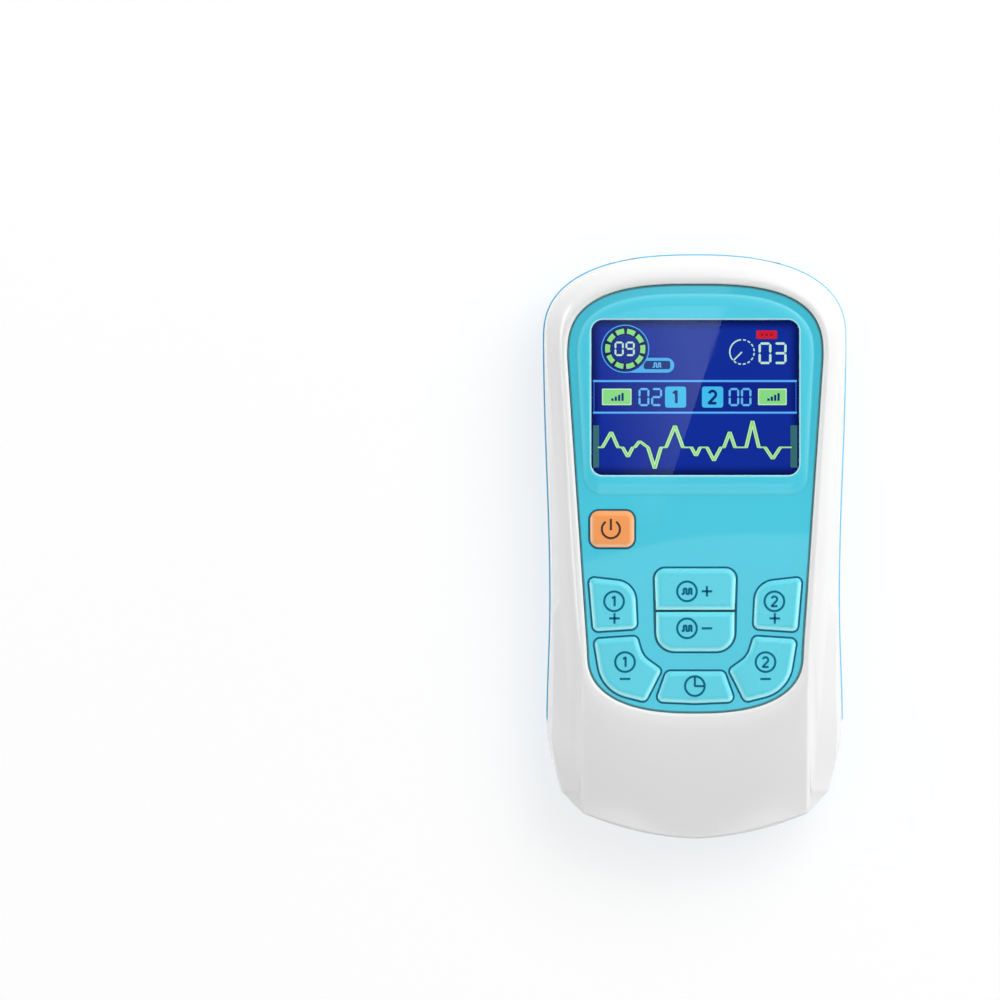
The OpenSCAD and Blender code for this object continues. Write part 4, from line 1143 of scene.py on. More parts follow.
def build_face_panel(h, sizes, material):
    top, slope = h.panel_z, sizes.hood_slope / MM
    plate = prism("face_panel_moulding", [inward(h.panel, 0.18)], h.ledge_z, top, sizes.panel_bevel / MM, 4)
    outline = hood_outline(h)
    loops = [at_z(outline, top - 0.5)]
    for t in (0, 0.03, 0.07, 0.12, 0.17, 0.22, 0.27, 0.35, 0.45, 0.55, 0.65, 0.75, 0.85, 0.93, 1):
        # a short steep step, then a long soft slope
        edge, crown = min(1, t / 0.22), t * t * (3 - 2 * t)
        climb = 0.4 * edge * edge * (3 - 2 * edge) + 0.6 * crown
        loops.append(at_z(inward(outline, slope * t), top + HOOD_RISE * climb + (0.001 if t else 0)))
    carve(plate, "UNION", loft("hood", loops))
    window = window_outline(h)
    flare = [at_z(inward(window, -WINDOW_GAP), top - 0.12), at_z(inward(window, -0.16), top + 0.05)]
    for t in np.linspace(0, 1, 8)[1:]:
        flare.append(at_z(inward(window, -0.16 - 1.7 * t ** 1.6), top + 0.05 + 0.57 * t))
    flare.append(at_z(inward(window, -1.9), top + 2))
    low_z = h.ledge_z - 1
    cuts = [loft("flare", flare), prism("window_hole", [inward(window, -WINDOW_GAP)], low_z, top + 0.1),
            prism("flange_room", [inward(window, -1.2)], low_z, h.ledge_z + 0.95)]
    for name in HOLES:
        hole = key_outline(h, inset(around_key(name), KEY_INSET - KEY_GAP))
        cuts.append(prism("key_hole", [hole], low_z, top + 1))
    for cut in cuts:
        carve(plate, "DIFFERENCE", cut)
    smooth(plate)
    return seat(plate, HOUSING, "cyan_panel", material, "face_panel")


def shade_round_hood(material, h):
    """Paints shade on the low border round the hood's sides and top, a little, and a painted highlight on the
    crest inside it.
    """
    z, low_y = h.panel_z * MM, (h.window_low_y - 5) * MM

    def shade(add, tint):
        place = add.parts(add.place())
        low = add.ease(place["Z"], (z + 0.00001, z + 0.00008), (1, 0))
        crest = add.ease(place["Z"], (z + 0.00007, z + 0.00012), (0, 0.3))
        inside = add.ease(place["Z"], (z + 0.00013, z + 0.00022), (1, 0.12))
        beside = add.ease(place["Y"], (low_y - 0.004, low_y + 0.014))
        # painted shade on the low border round the hood
        border = add.mix(add.math("MULTIPLY", low, beside), tint, (0.78, 0.87, 0.88), "MULTIPLY")
        # painted highlight on the crest at the top of the hood's first step
        ridge = add.math("MULTIPLY", crest, inside)
        return add.mix(add.math("MULTIPLY", ridge, beside), border, (0.3, 0.88, 0.96))

    repaint(material, shade)


def build_lip(h, sizes, material):
    """The lip of the hood round the window, pale as a painted highlight along the window's edge."""
    window = window_outline(h)
    inner, width, z = -0.1, sizes.lip_width / MM, h.panel_z + 0.05
    loops = [at_z(inward(window, inner), z - 0.2)]
    for t in np.linspace(0, math.pi, 9):
        across = inward(window, inner - width * (1 - math.cos(t)) / 2)
        loops.append(at_z(across, z + 0.02 + 0.16 * math.sin(t)))
    loops.append(at_z(inward(window, inner - width), z - 0.2))
    lip = loft("display_lip", loops, ring=True)
    smooth(lip, 60)
    return seat(lip, HOUSING, "cyan_panel", material)


def build_window(h, material):
    window = window_outline(h)
    top = h.panel_z - 0.05
    pane = prism("display_pane", [window], top - 1.2, top, 0.08, 2)
    flange = prism("flange", [inward(window, -1.1)], top - 1.2, top - 0.65)
    carve(pane, "UNION", flange)
    smooth(pane)
    return seat(pane, HOUSING, "clear_window", material, "display_window")


# ---- keys and their print ----


def key_slot(name):
    return "orange_key" if name == "power_key" else "cyan_key"


def build_key(h, name, sizes, material):
    a, b = corners_mm(name)
    top, flange_t = b[2], 1.0
    width, drop_z = sizes.key_edge / MM, sizes.key_crown / MM
    loops = [at_z(key_outline(h, inset(KEY_CORNERS[name], KEY_INSET)), a[2] + flange_t / 2)]
    for share, drop in KEY_EDGE:
        edge = inset(KEY_CORNERS[name], KEY_INSET + width * share)
        loops.append(at_z(key_outline(h, edge), top - drop_z * drop))
    body = loft(f"{name}_cap", loops)
    flange = prism("flange", [inward(key_outline(h, KEY_CORNERS[name]), -0.25)], a[2], a[2] + flange_t)
    carve(body, "UNION", flange)
    smooth(body)
    return seat(body, name, key_slot(name), material, name)


def shade_key_edges(material, top, pale):
    """Paints a highlight on a key's rounded edge, on its sides and lower edge and little on its upper edge.
    """

    def shade(add, tint):
        height, facing = add.parts(add.place())["Z"], add.parts(add.place("Normal"))["Y"]
        # painted highlight, strongest low on the rounded edge and on edges that face sideways or down the
        # unit
        edge = add.span(height, ((top - 0.34) * MM, (top - 0.01) * MM), (0.9, 0))
        side = add.ease(facing, (-0.05, 0.2), (1, 0.1))
        return add.mix(add.math("MULTIPLY", edge, side), tint, pale)

    repaint(material, shade)


def build_outlines(h, sizes, ink, edge_ink):
    """The dark lines painted round the key holes and inside the panel's edge: painted shade that widens and
    darkens the gaps there.
    """
    width, gap = sizes.outline_width / MM, KEY_INSET - KEY_GAP
    z0, z1 = h.panel_z - 0.02, h.panel_z + 0.015
    rings = [[key_outline(h, inset(around_key(name), d)) for d in (gap - width, gap + 0.01)]
             for name in HOLES]
    rim = [[inward(h.panel, 0.2), inward(h.panel, 0.2 + width)]]
    for name, pairs, material in (("face_panel_key_lines", rings, ink),
                                  ("face_panel_edge_line", rim, edge_ink)):
        points, faces = [], []
        for outer, inner in pairs:
            faces += skin(len(outer), 4, len(points), ring=True)
            for loop, z in ((outer, z0), (outer, z1), (inner, z1), (inner, z0)):
                points += list(at_z(loop, z))
        seat(raw_object(name, points, faces), HOUSING, "cyan_panel", material)


def line(*points):
    return np.array(points), False


def cross(x, y, size, minus=False):
    """A plus or a minus sign."""
    lines = [line((x - size, y), (x + size, y))]
    return lines if minus else [*lines, line((x, y - size), (x, y + size))]


def figure(x, y, tall, which):
    """A plain 1 or 2 drawn as a line."""
    if which == 1:
        return [line((x - tall * 0.2, y + tall * 0.3), (x + tall * 0.06, y + tall * 0.5),
                     (x + tall * 0.06, y - tall * 0.5))]
    arc, _ = circle(x, y + tall * 0.22, tall * 0.28, 165, -35, 14)
    return [line(*arc, (x - tall * 0.3, y - tall * 0.5), (x + tall * 0.32, y - tall * 0.5))]


def pulse_sign(x, y, s):
    """Two square pulses, the sign for the kind of current."""
    steps = [(-1.0, -0.5), (-0.6, -0.5), (-0.6, 0.5), (-0.1, 0.5), (-0.1, -0.5), (0.4, -0.5), (0.4, 0.5),
             (0.85, 0.5), (0.85, -0.5), (1.05, -0.5)]
    return [line(*[(x + s * a, y + s * b) for a, b in steps])]


def key_prints():
    """The lines printed on each key, counted from the window's lower edge."""
    r, size = 2.32, 1.25
    x, y = -20.0, -12.9
    arc, _ = circle(x, y, r * 0.92, 125, 415, 44)
    prints = {"power_key": [(arc, False), line((x, y + r * 1.05), (x, y - r * 0.1))]}
    for name, y, minus in (("mode_up_key", -27.63, False), ("mode_down_key", -36.4, True)):
        prints[name] = [circle(-1.97, y, r), *pulse_sign(-1.97, y, size), *cross(2.76, y, size, minus)]
    for channel, x, low_x in ((1, -19.25, -16.65), (2, 18.75, 16.65)):
        prints[f"channel_{channel}_up_key"] = [circle(x, -30.0, r), *figure(x, -30.0, 2.3, channel),
                                               *cross(x + 0.1, -34.05, size)]
        prints[f"channel_{channel}_down_key"] = [circle(low_x, -44.4, r), *figure(low_x, -44.4, 2.3, channel),
                                                 *cross(low_x, -48.4, size, True)]
    x, y = -0.1, -50.1
    prints["timer_key"] = [circle(x, y, r), line((x, y + r * 0.94), (x, y), (x + r * 0.94, y))]
    return prints


def build_print(h, name, lines, sizes, material):
    ink = drawn_lines(f"{name}_print", lines, h.window_low_y, corners_mm(name)[1][2], sizes.print_width,
                      sizes.print_height * 2, material)
    return seat(ink, name, key_slot(name), material)


# ---- display picture ----


SEGMENTS = {"0": "abcdef", "2": "abged", "3": "abgcd", "9": "abcdfg", "1": "bc"}


def seven_segment(text, x, y, w, h, line, gap):
    """Outlines of figures made of seven bars, x and y being the lower left corner of the first."""
    shapes = []
    for k, sign in enumerate(text):
        x0, x1 = x + k * (w + gap), x + k * (w + gap) + w
        ym, y1, s = y + h / 2, y + h, line * 0.16
        bars = {"a": ((x0, y1), (x1, y1)), "g": ((x0, ym), (x1, ym)), "d": ((x0, y), (x1, y)),
                "f": ((x0, ym), (x0, y1)), "b": ((x1, ym), (x1, y1)), "e": ((x0, y), (x0, ym)),
                "c": ((x1, y), (x1, ym))}
        for key in SEGMENTS[sign]:
            (ax, ay), (bx, by) = bars[key]
            t = line / 2
            if ay == by:
                shapes.append([(ax + s, ay), (ax + t + s, ay + t), (bx - t - s, ay + t), (bx - s, ay),
                               (bx - t - s, ay - t), (ax + t + s, ay - t)])
            else:
                shapes.append([(ax, ay + s), (ax - t, ay + t + s), (ax - t, by - t - s), (ax, by - s),
                               (ax + t, by - t - s), (ax + t, ay + t + s)])
    return shapes


def tile(x0, y0, x1, y1, r=0.2):
    return rounded([(x0, y1, r), (x1, y1, r), (x1, y0, r), (x0, y0, r)], 5)


PULSE = [(-22.8, 0), (-22, 0), (-19.9, 3.65), (-18.3, 0), (-17.2, 0), (-15.95, -2.25), (-14.8, 0), (-14.3, 0),
         (-13.2, 1.5), (-11.9, 0.5), (-11.2, 0), (-9.6, -5), (-8.1, 0), (-6.9, 0), (-4.8, 5.15), (-2.9, 0),
         (-0.9, 0), (0.2, -2), (1.2, 0), (2.8, 0), (4.45, -3.15), (6.1, 0), (6.8, 0), (8.2, 3.65), (9.45, 0),
         (12.1, 0), (13.6, 6.25), (15.1, 0), (16.6, 0), (18.4, -2.75), (20.2, 0), (22.6, 0)]


# the display's own inks; three more follow the colours that a user may change
INKS = [("cyan", "Lit cyan", "4DB4F0"), ("mint", "Lit mint", "CBF5BE"), ("sky", "Lit sky blue", "43C0F2"),
        ("pale", "Lit pale figures", "C4ECD6"), ("glow", "Lit glow", "2C62D2"), ("red", "Lit red", "D41F33"),
        ("maroon", "Dim red", "8E1430"), ("dark", "Unlit marks", "0A1450"),
        ("deep", "Deep blue marks", "0D2F78"), ("moss", "Dim green", "3A6F74")]


def build_display(h, colours, sizes):
    """The lit picture, counted from the window's lower edge; pieces further in front reach higher."""
    glass_top = corners_mm("display_glass")[1][2]
    # the window's frame, towards which the display and the band dim as painted shade
    edge = (h.window_w / 2 * MM, h.window_h / 2 * MM, h.window_y * MM, 0.0026)
    paint_node("display_glass", lit("Lit display", colours.display, edge))
    inks = {key: lit(name, rgb(code)) for key, name, code in INKS}
    inks.update(green=lit("Lit green", colours.lit_green), blue=lit("Lit figures", colours.lit_blue),
                band=lit("Lit band", rgb("11298F"), edge))

    def place(obj, kind):
        seat(obj, HOUSING, "display", inks[kind])

    def picture(name, kind, shapes, high):
        shapes = [np.asarray(shape) + [0, h.window_low_y] for shape in shapes]
        place(prism(f"picture_{name}", shapes, glass_top, glass_top + high), kind)

    def line_work(name, kind, lines, width, high):
        z, ink = glass_top + high / 2, inks[kind]
        place(drawn_lines(f"picture_{name}", lines, h.window_low_y, z, width * MM, high * MM, ink), kind)

    def dial(name, kind, x, y, **values):
        obj = raw_object(f"picture_{name}", [(x, y + h.window_low_y, glass_top + 0.05)])
        values = {key.replace("_", " "): value for key, value in values.items()}
        place(grow(obj, dial_tree(), values, inks[kind]), kind)

    ring = (-16.6, 29.85)
    clock = (11.1, 29.1)
    tag = rounded([(-16, 27.7, 1), (-4.95, 27.7, 1.8), (-4.95, 24.2, 1.8), (-16, 24.2, 1)], 8)
    picture("mode_tag", "cyan", [tag], 0.05)
    picture("mode_tag_plate", "deep", [tile(-12.2, 25.0, -5.9, 27.0, 0.5)], 0.07)
    line_work("mode_tag_sign", "blue", pulse_sign(-9.1, 26.0, 1.0), 0.3, 0.08)
    picture("dial_face", "band", [circle(*ring, 5.62, steps=64)[0]], 0.09)
    picture("dial_track", "dark", [circle(*ring, 5.1, steps=64)[0]], 0.1)
    picture("dial_middle", "band", [circle(*ring, 3.35, steps=64)[0]], 0.11)
    line_work("ring", "cyan", [circle(*ring, 5.6)], 0.22, 0.11)
    dial("level_marks", "green", *ring, Count=10, Radius=0.00419, Bar_Width=0.00118, Gap_Share=0.26,
         Start=math.radians(18 + 36 * 0.095), Height=0.00012)
    dial("clock_marks", "pale", *clock, Count=16, Radius=0.0029, Bar_Width=0.0003, Gap_Share=0.4, Start=0.07,
         Height=0.00008)
    line_work("clock_hand", "pale", [line(clock, (clock[0] - 2.0, clock[1] - 2.0)),
                                     circle(*clock, 2.9, 95, 215, 24)], 0.32, 0.09)
    picture("alarm_tag", "red", [tile(14.5, 32.2, 19.4, 34.2)], 0.05)
    dots = [line((x, 33.2), (x + 0.5, 33.2)) for x in (15.6, 16.7, 17.8)]
    line_work("alarm_sign", "maroon", dots, 0.5, 0.07)
    picture("mode_figures", "pale", seven_segment("09", -18.9, 28.35, 1.75, 3.0, 0.44, 0.85), 0.13)
    picture("timer_figures", "pale", seven_segment("03", 15.3, 26.5, 2.5, 4.6, 0.56, 1.1), 0.09)
    picture("band", "band", [tile(-24.1, 14.6, 24.1, 22.3, 0.3)], 0.03)
    frame_line = [(np.array([(-24.0, 22.2), (23.9, 22.2), (23.9, 14.7), (-24.0, 14.7)]), True)]
    rails = [line((-24.2, y), (24.1, y)) for y in (22.2, 14.7)]
    line_work("band_frame", "glow", frame_line, 0.24, 0.06)
    line_work("band_glow", "glow", rails, 0.66, 0.07)
    line_work("band_rails", "blue", rails, 0.34, 0.09)
    plates = [(-22.1, -15.1), (14.9, 21.7)]
    picture("level_edges", "mint", [tile(a, 16.5, b, 20.4) for a, b in plates], 0.06)
    picture("level_plates", "green", [tile(a + 0.25, 16.75, b - 0.25, 20.15) for a, b in plates], 0.07)
    bars = [tile(a + 2.2 + 0.8 * k, 17.5, a + 2.75 + 0.8 * k, 18.1 + 0.42 * k, 0.05)
            for a, b in plates for k in range(4)]
    picture("level_signs", "deep", bars, 0.08)
    channels = [(-7.15, -2.15), (1.6, 6.65)]
    picture("channel_plates", "sky", [tile(a, 15.9, b, 20.9, 0.6) for a, b in channels], 0.07)
    line_work("channel_signs", "deep", [*figure(-4.65, 18.4, 2.9, 1), *figure(4.1, 18.4, 2.9, 2)], 0.66, 0.1)
    levels = seven_segment("02", -13.2, 16.5, 2.1, 3.8, 0.5, 0.9)
    levels += seven_segment("00", 8.2, 16.5, 2.0, 3.8, 0.5, 0.9)
    picture("level_figures", "blue", levels, 0.09)
    # the steep parts of the pulse line are wider than its level parts, as if drawn with a broad nib
    width = sizes.trace_width / MM
    for name, tint, share, thin, high in (("pulse_shade", "deep", 0.4, 0.98, 0.05),
                                          ("pulse_trace", "mint", 0.34, 0.44, 0.08),
                                          ("pulse_core", "green", 0.15, 0.22, 0.1)):
        spread = [(np.array(PULSE) + [dx * share * width, 6.47], False) for dx in (-1, -0.33, 0.33, 1)]
        line_work(name, tint, spread, thin * width, high)
    picture("side_bars", "moss", [tile(-24.2, 1.7, -22.8, 11.7), tile(22.6, 1.7, 24.2, 11.7)], 0.05)


# ---- battery, board and fittings ----


# the plates that the battery springs stand on: their thickness and half their width
PLATE_T, PLATE_R = 0.5, 4


def build_springs(bay, sizes, material):
    middle_y, reach = bay.low_y + bay.len / 2, bay.len / 2 - PLATE_T
    ways = [1.0, -1.0, 1.0]
    points = [(middle_mm(name)[0], middle_y - way * reach, bay.cell_z)
              for name, way in zip(("cell_left", "cell_middle", "cell_right"), ways)]
    coils = raw_object("battery_spring_coils", points)
    layer = coils.data.attributes.new("way", "FLOAT", "POINT")
    layer.data.foreach_set("value", ways)
    grow(coils, spring_tree(), {"Length": 0.0043, "Turns": float(sizes.spring_turns), "Foot Radius": 0.003,
                                "Tip Radius": 0.0019, "Wire": sizes.wire}, material)
    plates = []
    for (x, y, z), way in zip(points, ways):
        low_y = y - PLATE_T if way > 0 else y
        plates.append(box_solid("plate", (x - PLATE_R, low_y, z - PLATE_R),
                                (x + PLATE_R, low_y + PLATE_T, z + PLATE_R)))
    carve(coils, "UNION", *plates)
    return seat(coils, HOUSING, "spring_steel", material, "battery_springs")


def dress_inside():
    """Materials of the CAD nodes that keep their own mesh."""
    finishes = {
        "display_holder": plastic("Holder plastic", rgb("E4E5E3"), 0.45, 0.6, grain=0.3),
        "display_gasket": soft_foam("Black foam", rgb("17181A")),
        "backlight": plastic("Backlight plastic", rgb("F3F4EF"), 0.3, 0.4),
        "display_ribbon": plastic("Amber film", rgb("C07F22"), 0.2, 0.3, coat=0.6),
        "keypad_mat": plastic("Silicone mat", rgb("CFD0CC"), 0.6, 0.75, grain=0.4),
        "key_switches": plastic("Switch plastic", rgb("2B2B2D"), 0.35, 0.5),
        "main_board": board_lacquer("Board lacquer"),
        "socket_left": plastic("Socket plastic", rgb("202225"), 0.28, 0.4),
        "socket_springs": metal("Contact brass", rgb("D2A84E"), 0.28),
        "transformer_left": plastic("Coil and core", rgb("37373B"), 0.5, 0.7, grain=0.5),
        "controller_chip": plastic("Chip resin", rgb("1A1B1D"), 0.5, 0.65, grain=0.4),
        "capacitors": plastic("Capacitor sleeve", rgb("26345E"), 0.2, 0.3, coat=0.4),
        "buzzer": plastic("Buzzer case", rgb("17181A"), 0.4, 0.55),
        "cell_left": metal("Cell can", rgb("C9CED4"), 0.24, 500.0),
        "battery_plates": metal("Contact plate", rgb("D5D6D3"), 0.22),
        "case_screw_1": metal("Screw steel", rgb("C4C7CA"), 0.3, 1400.0),
    }
    also = {"socket_left": ["socket_right"], "transformer_left": ["transformer_right"],
            "cell_left": ["cell_middle", "cell_right"],
            "case_screw_1": ["case_screw_2", "case_screw_3", "case_screw_4", "board_screws"]}
    for name, material in finishes.items():
        for node in (name, *also.get(name, [])):
            paint_node(node, material)


# ---- stage ----


def aim(obj, at):
    obj.rotation_mode = "QUATERNION"
    obj.rotation_quaternion = (Vector(at) - obj.location).to_track_quat("-Z", "Y")


def area_lamp(name, place, at, size, radiance):
    """A lamp whose face has the given radiance, so that it mirrors as that white."""
    data = bpy.data.lights.new(name, "AREA")
    data.shape = "RECTANGLE"
    data.size, data.size_y = size
    data.energy = radiance * math.pi * size[0] * size[1]
    lamp = bpy.data.objects.new(name, data)
    lamp.location = place
    aim(lamp, at)
    lamp.visible_camera = False
    bpy.context.scene.collection.objects.link(lamp)
    return lamp


# where the eye is and what it takes in, in metres; where it aims, as shares of the picture's width
EYE_DISTANCE, PICTURE_WIDTH, SENSOR = 2.5, 0.237, 36
AIM_RIGHT, AIM_UP = 0.1953, 0.0469
# name, place, height aimed at, size, radiance and the kind of ray that doesn't see it
LAMPS = [
    ("key_softbox", (0.6, 0.78, 1.16), 0, (1.15, 1.15), 4.0, "glossy"),
    ("key_gloss", (0.6, 0.78, 1.16), 0, (0.85, 0.85), 2.2, "diffuse"),
    ("left_low_strip", (-1.15, 0, 0.12), 0.01, (1.3, 0.2), 5.8, "glossy"),
    ("right_low_strip", (1.15, 0, 0.25), 0.01, (1.3, 0.2), 2.5, "glossy"),
    ("front_low_strip", (0, -1.2, 0.3), 0.01, (1.2, 0.14), 3.4, "glossy"),
    ("back_low_strip", (0, 1.2, 0.25), 0.01, (1.2, 0.14), 3.0, "glossy"),
    ("left_gloss", (-1.0, 0.05, 0.74), 0, (1.5, 0.36), 3.0, "diffuse"),
    ("right_gloss", (0.9, -0.2, 0.86), 0, (1.5, 0.36), 1.5, "diffuse"),
    ("front_gloss", (0.0, -0.92, 0.86), 0, (1.5, 0.36), 2.0, "diffuse"),
]
# name, outline, height, way along which it gets brighter with both levels, tint
CARDS = [
    ("window_card", [(-50, 5), (-9.1, 5), (-5.3, 17.2), (6.3, 53.7), (9.2, 63), (-50, 63)], 0.62,
     ((-21.2, 25.2), (3.0, 32.0), 0.06, 1.55), (0.8, 0.95, 1.15)),
    ("panel_card", [(-40, -8.5), (-27, -3.7), (-20, -1.7), (-12.8, -0.1), (-5, 1.6), (1.7, 2.5), (10, 3.0),
                    (23.5, 3), (40, 2.4), (40, -62), (-40, -62)], 0.35,
     ((0.0, -70.0), (0.0, 4.0), 0.8, 1.2), (1, 1, 1)),
]


def build_floor():
    half, z = 3000, -0.03
    floor = raw_object("floor", [(-half, -half, z), (half, -half, z), (half, half, z), (-half, half, z)],
                       [(0, 1, 2, 3)])
    material, add, shader = new_material("Pale floor")
    paper = add.mix(add.noise(3.0), (0.95, 0.95, 0.95), (0.97, 0.97, 0.97))
    add.feed(shader, {"Base Color": paper, "Roughness": 0.9, "Specular IOR Level": 0.1})
    rays = add("ShaderNodeLightPath").outputs
    seen = add.math("ADD", rays["Is Camera Ray"], rays["Is Glossy Ray"])
    clear = add.math("ADD", seen, rays["Is Transmission Ray"], use_clamp=True)
    white = add("ShaderNodeEmission", {"Color": (1, 1, 1), "Strength": 1.04})
    blend = add("ShaderNodeMixShader", {0: add.math("MULTIPLY", clear, 0.72), 1: shader, 2: white})
    # from underneath the floor is clear, so that the unit's back can be looked at
    under = add("ShaderNodeNewGeometry").outputs["Backfacing"]
    add.surface(add("ShaderNodeMixShader", {0: under, 1: blend, 2: add("ShaderNodeBsdfTransparent")}))
    dress(floor, material)


def build_sky(scene):
    world = bpy.data.worlds.new("Studio")
    scene.world = world
    world.use_nodes = True
    add = Nodes(world.node_tree)
    way = add.parts(add.place("Generated"))
    # the sky is dim round its top, so that flat faces seen from above mirror little of it
    lift = add.ease(way["Z"], (0.93, 0.992), (0.92, 0.02))
    slant = add.math("MULTIPLY_ADD", way["Y"], 1.6, way["X"])
    level = add.math("MULTIPLY", lift, add.span(slant, (-1.6, 1.6), (0.3, 0.58)))
    seen = add("ShaderNodeLightPath").outputs["Is Camera Ray"]
    mix = add("ShaderNodeMix", {"Factor": seen, "A": level, "B": 1.0}, data_type="FLOAT")
    add.feed(world.node_tree.nodes["Background"], {"Strength": mix, "Color": (1, 1, 1)})


def build_camera(scene):
    """A long lens nearly straight above. Returns where the eye is, seen from the unit's highest point."""
    low, high = np.array(CAD_BOX)
    tilt_x, tilt_y = math.radians(0.3), math.radians(0.7)
    back = Vector((math.sin(tilt_x), math.sin(tilt_y), 1)).normalized()
    right = (Vector((1, 0, 0)) - back * back.x).normalized()
    up = back.cross(right)
    target = Vector((*(low + high)[:2] / 2, high[2]))
    centre = target - right * (AIM_RIGHT * PICTURE_WIDTH) + up * (AIM_UP * PICTURE_WIDTH)
    camera = bpy.data.objects.new("camera", bpy.data.cameras.new("camera"))
    camera.data.sensor_width = SENSOR
    camera.data.lens = SENSOR * EYE_DISTANCE / PICTURE_WIDTH
    camera.data.clip_start, camera.data.clip_end = 0.1, 20
    camera.location = centre + back * EYE_DISTANCE
    camera.rotation_mode = "QUATERNION"
    camera.rotation_quaternion = Matrix((right, up, back)).transposed().to_quaternion()
    scene.collection.objects.link(camera)
    scene.camera = camera
    return back * EYE_DISTANCE + centre - target


def build_stage():
    scene = bpy.context.scene
    build_floor()
    build_sky(scene)
    eye = build_camera(scene)
    for name, place, at_height, size, radiance, hidden_from in LAMPS:
        setattr(area_lamp(name, place, (0, 0, at_height), size, radiance), f"visible_{hidden_from}", False)
    for card in CARDS:
        mirror_card(*card, eye)


def mirror_card(name, outline, height, glow, tint, eye):
    """A lit card over the unit that mirrors in flat faces just where its outline says, brighter one way."""
    reach = 1 + height / eye.z
    lean = np.array([-eye.x / eye.z, -eye.y / eye.z]) * height / MM
    top = CAD_BOX[1][2] / MM + height / MM
    points = [(x * reach + lean[0], y * reach + lean[1], top) for x, y in outline]
    card = raw_object(name, points, [tuple(range(len(points)))])
    material, add, _ = new_material(name)
    (ax, ay), (bx, by), low, high = glow
    along = Vector(((bx - ax), (by - ay), 0)) * MM * reach
    start = Vector((ax * reach + lean[0], ay * reach + lean[1], 0)) * MM
    offset = add("ShaderNodeVectorMath", {0: add.place(), 1: start}, operation="SUBTRACT")
    share = add("ShaderNodeVectorMath", {0: offset, 1: along / along.length_squared}, operation="DOT_PRODUCT")
    add.surface(add("ShaderNodeEmission", {"Color": tint, "Strength": add.span(share, target=(low, high))}))
    dress(card, material)
    card.visible_camera = card.visible_diffuse = card.visible_shadow = card.visible_transmission = False


# ---- operators and panel ----


def settings(context):
    """The housing's outlines and the sizes and colours that a user may change."""
    return Housing(), context.scene.unit_sizes, context.scene.unit_colours


class UNIT_OT_shells(Operator):
    """Builds the front and the back shell."""

    bl_idname = "unit.shells"
    bl_label = "Shells"

    def execute(self, context):
        h, sizes, colours = settings(context)
        white = plastic("White plastic", colours.shell, 0.16, 0.24, coat=0.5, coat_roughness=0.05, grain=0.05,
                        mottle=0.015, handling=45.0)
        blue = plastic("Blue plastic", colours.back, 0.22, 0.32, coat=0.3, grain=0.06)
        build_front_shell(h, sizes, white)
        build_back_shell(h, Bay(h), sizes, blue)
        return {"FINISHED"}


class UNIT_OT_battery_door(Operator):
    """Builds the battery door with its lips, latch and grip."""

    bl_idname = "unit.battery_door"
    bl_label = "Battery door"

    def execute(self, context):
        h, sizes, _ = settings(context)
        build_battery_door(h, Bay(h), sizes, bpy.data.materials["Blue plastic"])
        return {"FINISHED"}


class UNIT_OT_face_panel(Operator):
    """Builds the face panel with its hood and the holes for the window and the keys."""

    bl_idname = "unit.face_panel"
    bl_label = "Face panel"

    def execute(self, context):
        h, sizes, colours = settings(context)
        glossy = plastic("Turquoise panel", colours.panel, 0.3, 0.38, coat=0.8, coat_roughness=0.03,
                         grain=0.015, mottle=0.03, handling=40.0)
        shade_round_hood(glossy, h)
        build_face_panel(h, sizes, glossy)
        # the lip's pale colour is a painted highlight along the window's edge
        lip = plastic("Pale turquoise lip", rgb("B5EEF6"), 0.25, 0.35, coat=0.6, grain=0.03, mottle=0.03)
        build_lip(h, sizes, lip)
        return {"FINISHED"}


class UNIT_OT_display(Operator):
    """Builds the window and the lit picture behind it."""

    bl_idname = "unit.display"
    bl_label = "Display"

    def execute(self, context):
        h, sizes, colours = settings(context)
        build_window(h, clear_pane("Clear window"))
        build_display(h, colours, sizes)
        return {"FINISHED"}


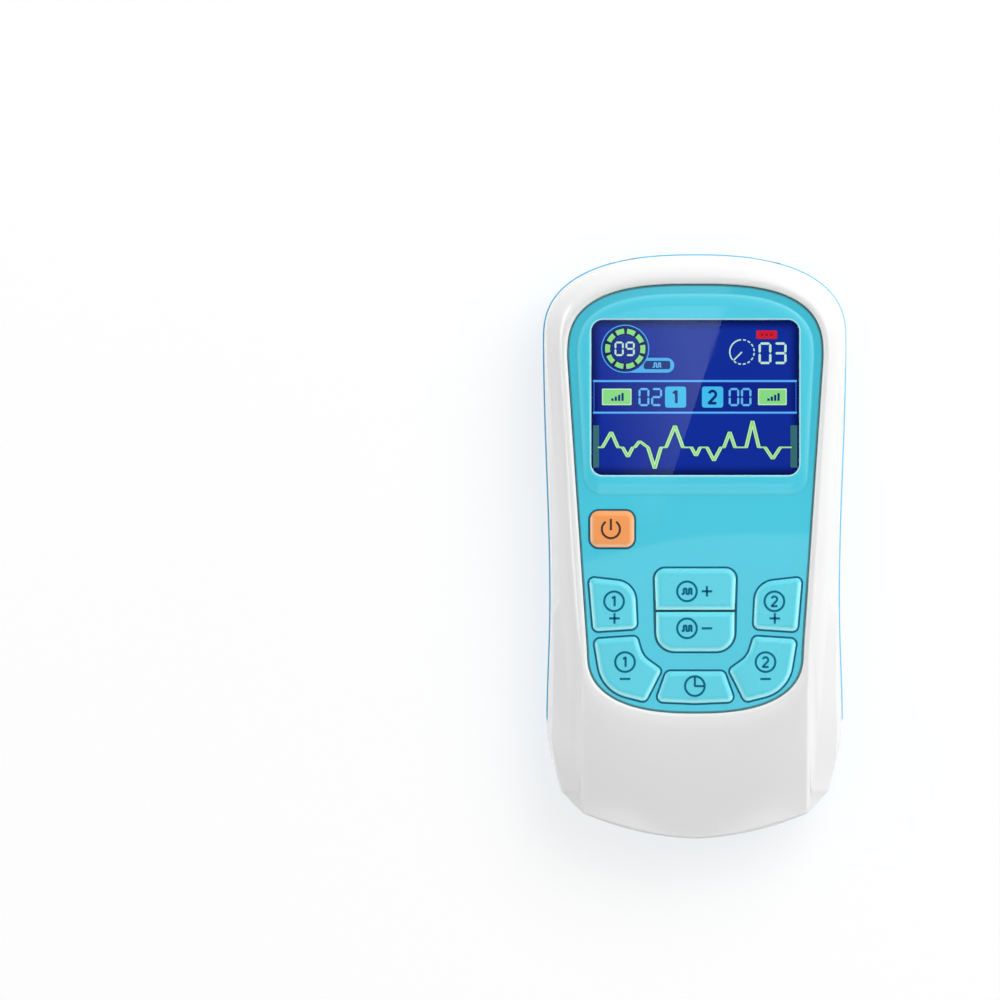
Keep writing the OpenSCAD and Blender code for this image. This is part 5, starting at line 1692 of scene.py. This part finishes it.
class UNIT_OT_keys(Operator):
    """Builds the eight keys and the print on them."""

    bl_idname = "unit.keys"
    bl_label = "Keys"

    def execute(self, context):
        h, sizes, colours = settings(context)
        key_plastics = []
        # each key plastic with the colour of the highlight painted on its edges
        for name, tint, pale in (("Turquoise key", colours.key, (0.34, 0.95, 1.0)),
                                 ("Orange key", colours.power, (0.98, 0.55, 0.3))):
            material = plastic(name, tint, 0.26, 0.36, coat=0.6, coat_roughness=0.1, grain=0.05)
            shade_key_edges(material, corners_mm("power_key")[1][2], pale)
            key_plastics.append(material)
        # one teal for the keys' print and for the painted shade along the key gaps, a grey teal for painted
        # shade inside the panel's edge
        ink = plastic("Teal print", colours.ink, 0.5, 0.6, mottle=0.1, specular=0.15)
        edge_ink = plastic("Grey teal print", rgb("3F8F98"), 0.4, 0.5, mottle=0.1)
        build_outlines(h, sizes, ink, edge_ink)
        brown = plastic("Brown print", rgb("43281A"), 0.4, 0.5, mottle=0.1)
        for name, lines in key_prints().items():
            power = name == "power_key"
            build_key(h, name, sizes, key_plastics[power])
            build_print(h, name, lines, sizes, brown if power else ink)
        return {"FINISHED"}


class UNIT_OT_inside(Operator):
    """Gives the pieces inside the housing their finishes and builds the battery springs."""

    bl_idname = "unit.inside"
    bl_label = "Inside"

    def execute(self, context):
        h, sizes, _ = settings(context)
        dress_inside()
        build_springs(Bay(h), sizes, metal("Spring steel", rgb("BFC3C6"), 0.25))
        return {"FINISHED"}


class UNIT_OT_stage(Operator):
    """Builds the floor, the light and the camera."""

    bl_idname = "unit.stage"
    bl_label = "Stage"

    def execute(self, context):
        build_stage()
        return {"FINISHED"}


OPERATORS = (UNIT_OT_shells, UNIT_OT_battery_door, UNIT_OT_face_panel, UNIT_OT_display, UNIT_OT_keys,
             UNIT_OT_inside, UNIT_OT_stage)


class UNIT_PT_build(Panel):
    """Lists the steps that build the unit, with its sizes and colours."""

    bl_idname = "UNIT_PT_build"
    bl_label = "Handheld unit"
    bl_space_type = "VIEW_3D"
    bl_region_type = "UI"
    bl_category = "Unit"

    def draw(self, context):
        for step in OPERATORS:
            self.layout.operator(step.bl_idname)
        for group in (context.scene.unit_sizes, context.scene.unit_colours):
            for key in group.__annotations__:
                self.layout.prop(group, key)


CLASSES = (UnitSizes, UnitColours, *OPERATORS, UNIT_PT_build)


def register():
    for cls in CLASSES:
        bpy.utils.register_class(cls)
    bpy.types.Scene.unit_sizes = PointerProperty(type=UnitSizes)
    bpy.types.Scene.unit_colours = PointerProperty(type=UnitColours)


def unregister():
    del bpy.types.Scene.unit_colours
    del bpy.types.Scene.unit_sizes
    for cls in reversed(CLASSES):
        bpy.utils.unregister_class(cls)


def main():
    register()
    bpy.context.scene.view_settings.view_transform = "Standard"
    bpy.ops.unit.shells()
    bpy.ops.unit.battery_door()
    bpy.ops.unit.face_panel()
    bpy.ops.unit.display()
    bpy.ops.unit.keys()
    bpy.ops.unit.inside()
    bpy.ops.unit.stage()


if __name__ == "__main__":
    main()
